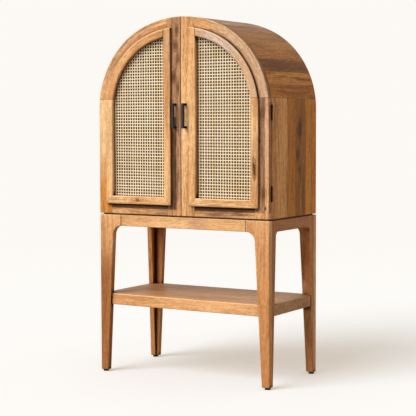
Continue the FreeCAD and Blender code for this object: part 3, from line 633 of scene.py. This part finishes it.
# Axis and places where the painted shade of the inside starts and is full; a stave's third axis is its
# depth
INSIDE_SHADE_START = 0.011
INSIDE_SHADE_FULL = 0.012
SIDE_INSIDE_SHADE = (X, HALF_WIDTH - INSIDE_SHADE_START, HALF_WIDTH - INSIDE_SHADE_FULL)
STAVE_INSIDE_SHADE = (Z, INSIDE_SHADE_START, INSIDE_SHADE_FULL)
BOTTOM_INSIDE_SHADE = (Z, 0.713, 0.714)
BACK_INSIDE_SHADE = (Y, 0.221, 0.220)

APRON_LINE = 0.007


def painted_shadow_strip(reach):
    """Bands across a door member, from its outer edge, that paint the moulding's shadow on it for a reach
    next to the moulding.
    """
    start = (MOULDING_OUTER - reach) / FRAME_WIDTH
    return [(start - STRIP_FADE, WHITE), (start + STRIP_FADE, PAINTED_SHADOW)]


def stand_look(**options):
    """A look with the stand's softer figure."""
    return Look(contrast=0.55, **options)


# Tones run along the grain: upwards, to the right, or along a rebuilt piece's run
LOOKS = {
    "door_left_outer_stile": Look(
        tones=[(0.22, AMBER), (0.42, PEACH), (0.6, PALE)], smoke=0.05, contrast=0.62),
    "door_left_meeting_stile": Look(
        tones=[(0.0, TAN), (0.1, TAUPE)], smoke=0.5,
        bands=painted_shadow_strip(STRIP_WIDTH), band_span=(STRIP_FOOT - DOOR_BASE, STRIP_LENGTH), painted_shadow_front_only=True,
        paints_narrow_shade=False, patch=TOP_PATCH,
        knots=[(0.785, 0.016, 0.030, 0.014, 0.65), (0.72, 0.026, 0.034, 0.018, 0.65),
               (0.665, 0.012, 0.034, 0.012, 0.55), (0.59, 0.034, 0.036, 0.014, 0.75),
               (0.545, 0.014, 0.030, 0.010, 0.5), (0.27, 0.012, 0.030, 0.006, 0.4)]),
    "door_left_bottom_rail": Look(
        tones=[(0.0, PEACH), (0.6, TAN), (1.0, TAUPE)], smoke=0.4,
        bands=painted_shadow_strip(STRIP_HEIGHT), painted_shadow_front_only=True,
        knots=[(-0.24, 0.720, 0.040, 0.008, 0.35), (-0.10, 0.714, 0.050, 0.006, 0.4)]),
    "door_left_arch_rail": Look(
        tones=[(0.0, PEACH), (0.35, SAND), (0.7, SAND), (1.0, HONEY)], smoke=0.45),
    "door_right_meeting_stile": Look(
        tones=[(0.0, PEACH), (0.2, HONEY), (0.4, PALE), (0.6, HONEY), (1.0, PEACH)], smoke=0.1,
        patch=TOP_PATCH, paints_narrow_shade=False),
    "door_right_bottom_rail": Look(
        tones=[(0.0, TAN), (0.4, TAUPE), (1.0, PEACH)], smoke=0.5,
        bands=painted_shadow_strip(STRIP_HEIGHT), painted_shadow_front_only=True,
        knots=[(0.16, 0.718, 0.050, 0.008, 0.45), (0.29, 0.722, 0.045, 0.009, 0.5)]),
    # The moulding's painted shadow beside it, and painted shade on the door's outer side face
    "door_right_outer_stile": Look(
        tones=[(0.0, PEACH), (0.6, ROSE)], smoke=0.5,
        bands=[(0.72, STILE_PAINTED_SHADOW), (0.76, WHITE), (0.98, WHITE), (0.995, EDGE_PAINTED_SHADE)],
        band_span=(STRIP_FOOT, JOINT_Z + BAND_EDGE), paints_narrow_shade=False,
        knots=[(1.145, 0.395, 0.046, 0.014, 0.6), (1.026, 0.381, 0.012, 0.004, 0.95),
               (0.812, 0.398, 0.036, 0.018, 0.55), (0.752, 0.409, 0.010, 0.006, 0.9),
               (0.743, 0.362, 0.011, 0.024, 0.65)]),
    # Painted shade along the outer edge, and a line of painted shade along the moulding (the second knot)
    "door_right_arch_rail": Look(
        tones=[(0.6, FAWN), (1.0, TAN)], smoke=0.2, bands=[(0.0, EDGE_PAINTED_SHADE), (0.01, WHITE)],
        knots=[(0.42, 0.036, 0.020, 0.008, 0.5), (0.40, MOULDING_OUTER - 0.002, 0.20, 0.004, 0.6)]),
    "moulding_left_outer": Look(tones=[(0.0, HONEY), (0.5, PALE)], smoke=0.05, contrast=0.5),
    "moulding_left_arch": Look(contrast=0.7),
    "moulding_left_inner": Look(tones=[(0.0, HONEY), (0.6, PEACH), (1.0, SAND)], smoke=0.2, contrast=0.6),
    "moulding_left_bottom": Look(
        tones=[(0.0, HONEY), (0.5, PEACH), (0.7, PALE)], smoke=0.1, contrast=0.7,
        knots=[(0.154, 0.064, 0.015, 0.009, 0.75)]),
    "moulding_right_outer": Look(
        tones=[(0.0, TAN), (0.3, PEACH), (0.6, PALE), (1.0, PEACH)], smoke=0.0, contrast=0.6,
        knots=[(0.146, 0.061, 0.062, 0.012, 0.9)]),
    # Painted shade on the moulding's outer side; its pale greyish-pink middle is partly a painted sheen
    "moulding_right_arch": Look(
        tones=[(0.35, FAWN), (0.6, PINK_AND_SHEEN), (0.8, PINK_AND_SHEEN), (1.0, FAWN)], smoke=0.2, contrast=0.6,
        bands=[(0.0, CREASE_PAINTED_SHADE), (0.04, WHITE)]),
    "moulding_right_inner": Look(tones=[(0.0, PEACH), (0.5, HONEY), (1.0, PEACH)], smoke=0.1, contrast=0.6),
    "moulding_right_bottom": Look(tones=[(0.0, PALE), (1.0, HONEY)], smoke=0.1, contrast=0.7),
    "arch_staves": Look(smoke=0.3, staves=RIGHT_TONES + CROWN_TONES + LEFT_TONES, inside_shade=STAVE_INSIDE_SHADE),
    "carcass_side_right": Look(
        tones=[(0.0, WHITE)], planks=RIGHT_PLANKS, smoke=0.2, inside_shade=SIDE_INSIDE_SHADE,
        knots=[(1.075, 0.075, 0.062, 0.026, 0.85), (0.965, 0.055, 0.040, 0.022, 0.75),
               (0.905, 0.070, 0.026, 0.016, 0.7)]),
    "carcass_side_left": Look(tones=[(0.0, WHITE)], planks=LEFT_PLANKS, inside_shade=SIDE_INSIDE_SHADE),
    "carcass_bottom": Look(inside_shade=BOTTOM_INSIDE_SHADE),
    "back_panel": Look(inside_shade=BACK_INSIDE_SHADE),
    "base_strips": Look(tones=[(0.0, BROWN)], paints_narrow_shade=False),
    # The fittings inside are coloured as the painted shade of the inside
    **dict.fromkeys(("inner_shelf", "shelf_cleats", "stemware_spacers", "stemware_slats"),
                    Look(tones=[(0.0, INSIDE_PAINTED_SHADE)], smoke=0.0, contrast=0.4)),
    # Behind its front edge the shelf is darker, as painted shade under the cabinet
    "stand_shelf": stand_look(
        tones=[(0.0, TAN), (0.9, PEACH), (1.0, TAN)], smoke=0.3, bands=[(0.02, WHITE), (0.05, SHELF_PAINTED_SHADE)]),
    # Light tones darkened below the top edge, which leaves a painted highlight on that edge
    "apron_front": stand_look(
        tones=[(0.0, HONEY), (0.5, PALE), (0.62, ROSE), (0.75, HONEY)], smoke=0.2,
        bands=[(0.92, BELOW_PAINTED_HIGHLIGHT), (0.97, WHITE)], end_line=APRON_LINE),
    "apron_right": stand_look(tones=[(0.0, RUSSET)]),
    # The leg faces pale at their top edges, as a painted highlight
    "leg_front_left_face": stand_look(
        tones=[(0.0, srgb(170, 110, 62)), (0.6, srgb(174, 114, 66)), (0.9, TAN), (0.985, PEACH),
               (1.0, PALE)]),
    "leg_front_right_face": stand_look(
        tones=[(0.0, BROWN), (0.5, srgb(214, 152, 96)), (0.9, TAN), (0.985, PEACH), (1.0, PALE)],
        smoke=0.1),
    "leg_front_right_side": stand_look(tones=[(0.0, RUSSET)]),
    # The back left leg's boards are darker, as painted shade under the cabinet
    "leg_back_left_face": stand_look(tones=[(0.0, BROWN), (1.0, RUSSET)]),
    "leg_back_left_side": stand_look(tones=[(0.0, BROWN)]),
    "leg_back_right_side": stand_look(tones=[(0.0, BROWN)]),
}


def grain_axes(node):
    """The axes along and across the grain of a board."""
    if node.startswith(("leg_", "carcass_side")):
        return Z, X if node.endswith("_face") else Y
    if node.endswith("_stile") or node == "back_panel":
        return Z, X
    if node in ("apron_left", "apron_right", "shelf_cleats", "stemware_slats", "stemware_spacers"):
        return Y, Z
    if node in ("stand_shelf", "inner_shelf", "carcass_bottom", "base_strips"):
        return X, Y
    return X, Z


def add_object(name, data):
    """A new object in the scene."""
    obj = bpy.data.objects.new(name, data)
    bpy.context.scene.collection.objects.link(obj)
    return obj


def paint(piece, material):
    """Gives a piece its one material."""
    piece.data.materials.clear()
    piece.data.materials.append(material)


def board_wood(node):
    """The wood of a board that keeps its own solid."""
    axes = grain_axes(node)
    low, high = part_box(node)
    return wood(node, axes, *((low[axis], high[axis]) for axis in axes))


# Rebuilt pieces

class Piece:
    """A mesh in the making; its points keep the grain's run, inset and depth, and a number per board."""

    def __init__(self, name):
        self.name = name
        self.bm = bmesh.new()
        self.grain = self.bm.verts.layers.float_vector.new("grain")
        self.board = self.bm.verts.layers.float.new("board")
        self.length = 0.0

    def point(self, place, grain, board):
        """Adds one point."""
        vert = self.bm.verts.new(place)
        vert[self.grain] = grain
        vert[self.board] = board
        return vert

    def skin(self, rings):
        """Joins closed rings of points, each to the next."""
        for ring, following in zip(rings, rings[1:]):
            for index in range(len(ring)):
                after = (index + 1) % len(ring)
                self.bm.faces.new((ring[index], ring[after], following[after], following[index]))

    def bridge(self, rings):
        """Joins closed rings of points, and closes both ends with strips from front to back."""
        self.skin(rings)
        for ring in (rings[0], rings[-1]):
            for index in range(len(ring) // 2 - 1):
                self.bm.faces.new((ring[index], ring[index + 1], ring[-2 - index], ring[-1 - index]))

    def sweep(self, section, rows, side=1, board=0.0):
        """A solid of a section of (inset, y) points carried through rows, which place them."""
        middle = sum(inset for inset, _ in section) / len(section)
        rings = []
        run = 0.0
        last = None
        for row in rows:
            mark = Vector(row(middle, 0.0))
            mark.y = 0.0
            run += (mark - last).length if last else 0.0
            last = mark
            ring = []
            for inset, y in section:
                x, depth, z = row(inset, y)
                ring.append(self.point((side * x, depth, z), (run, inset, depth), board))
            rings.append(ring)
        self.bridge(rings)
        self.length = max(self.length, run)

    def build(self, body, slot, *nodes):
        """Makes the object, with smooth shading up to an angle, and puts it in the place of nodes."""
        bmesh.ops.recalc_face_normals(self.bm, faces=self.bm.faces)
        for face in self.bm.faces:
            face.smooth = True
        for edge in self.bm.edges:
            edge.smooth = len(edge.link_faces) == 2 and edge.calc_face_angle() < SMOOTH_ANGLE
        mesh = bpy.data.meshes.new(self.name)
        self.bm.to_mesh(mesh)
        self.bm.free()
        piece = add_object(self.name, mesh)
        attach(piece, body)
        if nodes:
            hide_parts(*nodes)
        return piece


def section(outer, inner, front, back, outer_ease=0.0, inner_ease=0.0, steps=1):
    """A board's section: (inset, y) points along its front, its corners rounded, then along its rear."""
    inward = 1 if back > front else -1
    face = []
    for angle in CORNER_ANGLES if outer_ease else CORNER_ANGLES[:1]:
        face.append((outer + outer_ease * (1 - math.cos(angle)),
                     front + inward * outer_ease * (1 - math.sin(angle))))
    start = face[-1][0]
    end = inner - inner_ease
    face += [(inset, front) for inset in spread(start, end, steps)[1:-1]]
    for angle in CORNER_ANGLES if inner_ease else CORNER_ANGLES[:1]:
        face.append((end + inner_ease * math.sin(angle),
                     front + inward * inner_ease * (1 - math.cos(angle))))
    return face + [(inset, back) for inset, _ in reversed(face)]


def level_rows():
    """Rows of a mitred length along the bottom of a door."""
    def place(share, inset, y):
        return between(HALF_GAP + inset, HALF_WIDTH - inset, share), y, DOOR_BASE + inset

    return [partial(place, share) for share in (0.0, 1.0)]


def outer_rows(steps=6):
    """Rows of an upright along a door's outer edge, mitred at its foot and bent along the haunch."""
    def foot(inset, y):
        return HALF_WIDTH - inset, y, DOOR_BASE + inset

    def place(z, inset, y):
        return arch_x(inset, z), y, z

    return [foot] + [partial(place, z) for z in spread(SPRING_HEIGHT, JOINT_Z, steps)]


def arch_rows(meet, steps=64):
    """Rows of a curved band from the joint above the spring line to an upright at meet."""
    def place(share, inset, y):
        low = math.asin(JOINT_RISE / (HAUNCH_RADIUS - inset))
        high = math.acos(meet / (CROWN_RADIUS - inset))
        x, z = arch_point(between(low, high, share), inset)
        return x, y, z

    return [partial(place, share) for share in spread(0.0, 1.0, steps)]


def upright_rows(mitred, top_inset, front, ease):
    """Rows of an upright along the meeting edge, its top cut to the arch and rounded at the front."""
    def foot(inset, y):
        return HALF_GAP + inset, y, DOOR_BASE + (inset if mitred else 0.0)

    def top(angle, inset, y):
        x = HALF_GAP + inset
        setback = ease * (1 - math.sin(angle))
        return x, max(y, front + ease * (1 - math.cos(angle))), arch_z(top_inset + setback, x)

    return [foot] + [partial(top, angle) for angle in CORNER_ANGLES]


def door_members(name, side):
    """The meeting stile and the arch rail of a door."""
    stile = section(0.0, FRAME_WIDTH, DOOR_FRONT, DOOR_BACK, FRAME_EASE, steps=10)
    rail = section(0.0, FRAME_WIDTH, DOOR_FRONT, DOOR_BACK, FRAME_EASE)
    members = {
        "meeting_stile": (stile, upright_rows(False, 0.0, DOOR_FRONT, FRAME_EASE)),
        "arch_rail": (rail, arch_rows(HALF_GAP + FRAME_WIDTH)),
    }
    for member, (shape, rows) in members.items():
        node = f"door_{name}_{member}"
        piece = Piece(f"{member}_{name}")
        piece.sweep(shape, rows, side)
        look = wood(node, None, (0.0, piece.length), (0.0, FRAME_WIDTH))
        paint(piece.build(f"{name}_door", "door_wood", node), look)


def surround_rows(outer, inner, front, ease):
    """Rows of the four lengths of a surround between two insets."""
    return {
        "arch": arch_rows(HALF_GAP + inner),
        "outer": outer_rows(),
        "inner": upright_rows(True, outer, front, ease),
        "bottom": level_rows(),
    }


def door_mouldings(name, side):
    """The four lengths of raised moulding, each with the lip that reaches back to the cane."""
    lip = FRAME_WIDTH + EDGE_PLAY
    caps = surround_rows(MOULDING_OUTER, MOULDING_INNER, MOULDING_FRONT, MOULDING_EASE)
    lips = surround_rows(lip, MOULDING_INNER, DOOR_FRONT, 0.0)
    cap_section = section(MOULDING_OUTER, MOULDING_INNER, MOULDING_FRONT, DOOR_FRONT,
                          MOULDING_EASE, MOULDING_EASE, steps=6)
    lip_section = section(lip, MOULDING_INNER, DOOR_FRONT, CANE_FRONT)
    for length in caps:
        node = f"moulding_{name}_{length}"
        piece = Piece(f"raised_moulding_{name}_{length}")
        piece.sweep(cap_section, caps[length], side)
        piece.sweep(lip_section, lips[length], side)
        look = wood(node, None, (0.0, piece.length), (MOULDING_OUTER, MOULDING_INNER))
        paint(piece.build(f"{name}_door", "moulding_wood", node), look)


def door_beads(name, side):
    """The beads that hold the cane from behind."""
    outer = FRAME_WIDTH + EDGE_PLAY
    inner = outer + BEAD_WIDTH
    piece = Piece(f"retaining_beads_{name}")
    shape = section(outer, inner, DOOR_BACK, CANE_BACK, 0.0, BEAD_EASE, steps=4)
    lengths = surround_rows(outer, inner, CANE_BACK, 0.0).values()
    for number, rows in enumerate(lengths):
        piece.sweep(shape, rows, side, number / len(lengths))
    node = f"cane_beads_{name}"
    look = wood(node, None, (0.0, piece.length), (outer, inner))
    paint(piece.build(f"{name}_door", "door_wood", node), look)


def arch_shell():
    """The coopered arch: staves with fine eased seams, their grain from front to back."""
    piece = Piece("coopered_arch")
    low = math.asin(JOINT_RISE / HAUNCH_RADIUS)
    first = {"right": 0, "left": HAUNCH_STAVES + CROWN_STAVES}

    def add(number, start, end, side):
        """One stave, with its edges eased."""
        ease = STAVE_EASE / HAUNCH_RADIUS
        board = (number + 0.5) / (2 * HAUNCH_STAVES + CROWN_STAVES)
        inner = spread(start, end, 4)[1:-1]
        corners = ((0.0, CARCASS_FRONT), (0.0, CARCASS_BACK), (SHELL, CARCASS_BACK), (SHELL, CARCASS_FRONT))
        rings = []
        for angle in (start, start + ease, *inner, end - ease, end):
            skin = STAVE_EASE if angle in (start, end) else 0.0
            ring = []
            for inset, y in corners:
                x, z = arch_point(angle, max(inset, skin))
                grain = (y - CARCASS_FRONT, side * angle * HAUNCH_RADIUS, inset)
                ring.append(piece.point((side * x, y, z), grain, board))
            rings.append(ring)
        piece.bridge(rings)

    def cuts(start, end, count):
        """The angles between which a row of staves lies."""
        angles = spread(start, end, count)
        return zip(angles, angles[1:])

    for number, (start, end) in enumerate(cuts(low, JOIN_ANGLE, HAUNCH_STAVES)):
        for name, side in SIDES.items():
            add(first[name] + number, start, end - TINY, side)
    for number, (start, end) in enumerate(cuts(JOIN_ANGLE, math.pi - JOIN_ANGLE, CROWN_STAVES)):
        add(HAUNCH_STAVES + number, start, end, 1)
    look = wood("arch_staves", None, (0.0, CARCASS_BACK - CARCASS_FRONT), (0.0, 1.0))
    paint(piece.build("cabinet", "cabinet_wood", "arch_staves"), look)


def back_board():
    """The arched back, let in between the sides and the staves."""
    low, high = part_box("back_panel")
    inset = SHELL + EDGE_PLAY
    steps = 40
    right = [arch_point(angle, inset) for angle in spread(0.0, math.pi / 2, steps)]
    outline = [(HALF_WIDTH - inset, low.z)] + right
    outline += [(-x, z) for x, z in reversed(outline) if x > TINY]
    piece = Piece("arched_back")
    rims = [[piece.point((x, y, z), (z, x, y), 0.0) for x, z in outline] for y in (low.y, high.y)]
    for rim in rims:
        piece.bm.faces.new(rim)
    piece.skin(rims)
    paint(piece.build("cabinet", "cabinet_wood", "back_panel"), board_wood("back_panel"))


# Cane

# A strand's section, in shares of its half width and its thickness
STRAND_SECTION = [(-1.0, 0.0), (-0.72, -0.42), (0.0, -0.5), (0.72, -0.42),
                  (1.0, 0.0), (0.72, 0.42), (0.0, 0.5), (-0.72, 0.42)]
# Strands differ in width, as a share of the solids' strands, and lie a little off their places
STRAND_WIDTHS = (0.77, 0.86)
STRAND_SLIDE = 0.0003
WEAVE_PLAY = 0.00002


def cane_web(name, side):
    """Woven cane: flat strands over and under each other, trimmed to the arched opening."""
    piece = Piece(f"woven_cane_{name}")
    draw = random.Random(len(name))
    margin = CANE_MARGIN + EDGE_PLAY
    half = CANE_STRAND / 2
    middle = (CANE_FRONT + CANE_BACK) / 2
    lift = (CANE_BACK - CANE_FRONT - CANE_THICKNESS) / 2 - WEAVE_PLAY
    left = HALF_GAP + margin
    right = HALF_WIDTH - margin
    bottom = DOOR_BASE + margin
    top = arch_z(margin, left)
    columns = [HALF_GAP + CANE_MARGIN + (index + 0.5) * CANE_PITCH
               for index in range(int((right - left) / CANE_PITCH))]
    levels = [DOOR_BASE + CANE_MARGIN + (index + 0.5) * CANE_PITCH
              for index in range(int((top - bottom) / CANE_PITCH))]

    def strand(low, high, crossings, parity, place):
        """A strand from low to high; place turns run, offset across and depth into a point."""
        stations = [(low, 0.0)]
        for index, centre in enumerate(crossings):
            over = lift if (index + parity) % 2 else -lift
            for offset, depth in ((-half, over), (half, over), (CANE_PITCH / 2, 0.0)):
                if low + half < centre + offset < high - half:
                    stations.append((centre + offset, depth))
        stations.append((high, 0.0))
        board = draw.random()
        width = half * draw.uniform(*STRAND_WIDTHS)
        slide = draw.uniform(-STRAND_SLIDE, STRAND_SLIDE)
        rings = []
        for run, depth in stations:
            ring = []
            for across, thick in STRAND_SECTION:
                y = middle + depth + thick * CANE_THICKNESS
                x, z = place(run, across * width + slide)
                ring.append(piece.point((side * x, y, z), (run, across * half, depth), board))
            rings.append(ring)
        piece.skin(rings)
        piece.bm.faces.new(rings[0])
        piece.bm.faces.new(rings[-1])

    for number, x in enumerate(columns):
        high = min(arch_z(margin, x - half), arch_z(margin, x + half))
        strand(bottom, high, levels, number, lambda run, across, x=x: (x + across, run))
    for number, z in enumerate(levels):
        high = min(right, arch_x(margin, z + half))
        strand(left, high, columns, number + 1, lambda run, across, z=z: (run, z + across))
    paint(piece.build(f"{name}_door", "cane", f"cane_panel_{name}"), CANE)


# Fasteners

LEAF_GAP = 0.0006
LEAF_SCREW_SPREAD = 0.022
LEAF_SCREW_X = HALF_WIDTH - 0.009
HINGE_HALF_HEIGHT = 0.032
BLOCK_BOLT_INSET = 0.0225
# Radius and height of the heads
PULL_SCREW = (0.004, 0.0018)
LEAF_SCREW = (0.0026, 0.00015)
STAND_BOLT = (0.0065, 0.003)
# Reach and half width of the cross recess, as shares of the head's radius
CROSS_REACH = 0.55
CROSS_HALF = 0.16


def screw_heads(name, body, slot, material, places, outward, radius, height):
    """Heads with a cross recess, at places on faces that all look outward."""
    piece = Piece(name)
    across = Vector((1.0, 0.0, 0.0))
    upward = outward.cross(across)
    arm = CROSS_REACH * radius
    half = CROSS_HALF * radius
    quarter = [(arm, half), (half, half), (half, arm)]
    cross = quarter + [(-x, z) for x, z in reversed(quarter)]
    cross += [(-x, -z) for x, z in cross]

    def ring(place, points, lift):
        """Points round a place, lifted off the face."""
        return [piece.point(place + across * x + upward * z + outward * lift, (0, 0, 0), 0.0)
                for x, z in points]

    def disc(reach):
        """The cross's points drawn out to a circle."""
        return [tuple(reach * part / math.hypot(x, z) for part in (x, z)) for x, z in cross]

    # Up the rim, over the dome to the recess and down into it; heights are shares of the head's own
    rim = disc(radius)
    levels = [(rim, 0.0), (rim, 0.3), (disc(0.85 * radius), 0.9), (cross, 1.0), (cross, 0.3)]
    for place in places:
        rings = [ring(place, points, share * height) for points, share in levels]
        piece.skin(rings)
        piece.bm.faces.new(rings[-1])
    paint(piece.build(body, slot), material)


def door_screws(name, side):
    """The screws of a door's pull, in its back, and of both leaves of its hinges."""
    low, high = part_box(f"pull_handle_{name}")
    post = (high.x - low.x) / 2
    middle = (low.x + high.x) / 2
    backs = [Vector((middle, DOOR_BACK, z)) for z in (low.z + post, high.z - post)]
    inward = Vector((0.0, 1.0, 0.0))
    screw_heads(f"pull_screws_{name}", f"{name}_door", "steel", STEEL, backs, inward, *PULL_SCREW)

    low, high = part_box(f"hinge_door_leaves_{name}")
    axis = (DOOR_BACK + CARCASS_FRONT) / 2
    heights = [centre + offset for centre in (low.z + HINGE_HALF_HEIGHT, high.z - HINGE_HALF_HEIGHT)
               for offset in (-LEAF_SCREW_SPREAD, LEAF_SCREW_SPREAD)]
    for leaf, body, way in (("door", f"{name}_door", 1), ("frame", "cabinet", -1)):
        y = axis - way * LEAF_GAP / 2
        places = [Vector((side * LEAF_SCREW_X, y, z)) for z in heights]
        screw_heads(f"hinge_screws_{leaf}_{name}", body, "black_metal", POWDER_COAT, places, way * inward,
                    *LEAF_SCREW)


def stand_bolts():
    """The bolts that hold the cabinet down, under the stand's corner blocks."""
    low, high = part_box("corner_blocks")
    places = [Vector((x, y, low.z)) for x in (low.x + BLOCK_BOLT_INSET, high.x - BLOCK_BOLT_INSET)
              for y in (low.y + BLOCK_BOLT_INSET, high.y - BLOCK_BOLT_INSET)]
    screw_heads("stand_bolts", "cabinet", "steel", STEEL, places, Vector((0.0, 0.0, -1.0)), *STAND_BOLT)


# Stage

PAPER = srgb(252, 249, 244)
FILL = (1.0, 0.98, 0.95, 1.0)
AMBIENT = 0.54
SUN_STRENGTH = 3.15

# The floor shows a glow and the light it takes, then plain paper further off; its bounce is plain and pale
FLOOR_REACH = 40.0
FLOOR_GLOW = (0.424, 0.338, 0.245, 1.0)
FLOOR_LIT = (0.480, 0.541, 0.607, 1.0)
FLOOR_BOUNCE = (0.40, 0.39, 0.37, 1.0)
PAPER_FADE = (1.5, 6.0)

IMAGE_SIZE = 416
FOCAL_PIXELS = 1310.0
CAMERA_PLACE = Vector((2.9759, -4.8983, 1.1230))
CAMERA_YAW = math.radians(31.184)
CAMERA_PITCH = math.radians(3.933)
CAMERA_ROLL = math.radians(-0.170)


def seen_directly(tree):
    """1 for rays from the camera, a reflection or a glass, and 0 for those that light the object."""
    path = tree.add("LightPath").outputs
    direct = tree.math("MAXIMUM", path["Is Camera Ray"], path["Is Glossy Ray"])
    return tree.math("MAXIMUM", direct, path["Is Transmission Ray"])


def floor():
    """A pale floor that runs into the background and takes a soft shadow."""
    mesh = bpy.data.meshes.new("floor")
    corners = [(FLOOR_REACH * x, FLOOR_REACH * y, 0) for x, y in ((-1, -1), (1, -1), (1, 1), (-1, 1))]
    mesh.from_pydata(corners, [], [(0, 1, 2, 3)])
    obj = add_object("floor", mesh)
    material, tree = new_material("paper_floor")
    glow = tree.out("Emission", {"Color": FLOOR_GLOW})
    lit = tree.out("BsdfDiffuse", {"Color": FLOOR_LIT})
    shown = tree.out("AddShader", {0: glow, 1: lit})
    bounce = tree.out("BsdfDiffuse", {"Color": FLOOR_BOUNCE})
    place = tree.out("TexCoord", key="Object")
    distance = tree.vectors("LENGTH", place, key="Value")
    paper = tree.out("Emission", {"Color": PAPER})
    shown = tree.out("MixShader", {0: tree.step(distance, *PAPER_FADE), 1: shown, 2: paper})
    either = tree.out("MixShader", {0: seen_directly(tree), 1: bounce, 2: shown})
    tree.add("OutputMaterial", {"Surface": either})
    paint(obj, material)


def light():
    """A soft key light from the upper left of the front, and even light all round."""
    sun = bpy.data.lights.new("key", "SUN")
    sun.energy = SUN_STRENGTH
    sun.angle = SUN_SPREAD
    obj = add_object("key", sun)
    obj.rotation_euler = (-SUNWARD).to_track_quat("-Z", "Y").to_euler()
    world = bpy.data.worlds.new("studio")
    world.use_nodes = True
    tree = Tree(world.node_tree)
    fill = tree.out("Background", {"Color": FILL, "Strength": AMBIENT})
    paper = tree.out("Background", {"Color": PAPER})
    either = tree.out("MixShader", {0: seen_directly(tree), 1: fill, 2: paper})
    tree.add("OutputWorld", {"Surface": either})
    bpy.context.scene.world = world


def camera():
    """The photograph's view."""
    lens = bpy.data.cameras.new("camera")
    lens.sensor_width = 36.0
    lens.lens = FOCAL_PIXELS * lens.sensor_width / IMAGE_SIZE
    obj = add_object("camera", lens)
    level = Vector((math.cos(CAMERA_YAW), math.sin(CAMERA_YAW), 0.0))
    forward = Vector((-math.sin(CAMERA_YAW), math.cos(CAMERA_YAW), 0.0))
    ahead = forward * math.cos(CAMERA_PITCH) - Vector((0.0, 0.0, math.sin(CAMERA_PITCH)))
    upward = level.cross(ahead)
    right = level * math.cos(CAMERA_ROLL) + upward * math.sin(CAMERA_ROLL)
    up = upward * math.cos(CAMERA_ROLL) - level * math.sin(CAMERA_ROLL)
    pose = Matrix((right, up, -ahead)).transposed().to_4x4()
    pose.translation = CAMERA_PLACE
    obj.matrix_world = pose
    bpy.context.scene.camera = obj
    bpy.context.scene.view_settings.view_transform = "Standard"


def dress_frame():
    """Gives every node that keeps its own solid its material."""
    plain = {"black_metal": POWDER_COAT, "black_plastic": PLASTIC, "steel": STEEL}
    for part in frame["record"]["subparts"]:
        node = frame["nodes"][part["node"]]
        if node.hide_render:
            continue
        material = plain.get(part["material_slot"])
        paint(node, material or board_wood(part["node"]))


camera()
light()
floor()
for name, side in SIDES.items():
    door_members(name, side)
    door_mouldings(name, side)
    door_beads(name, side)
    cane_web(name, side)
    door_screws(name, side)
arch_shell()
back_board()
stand_bolts()
dress_frame()
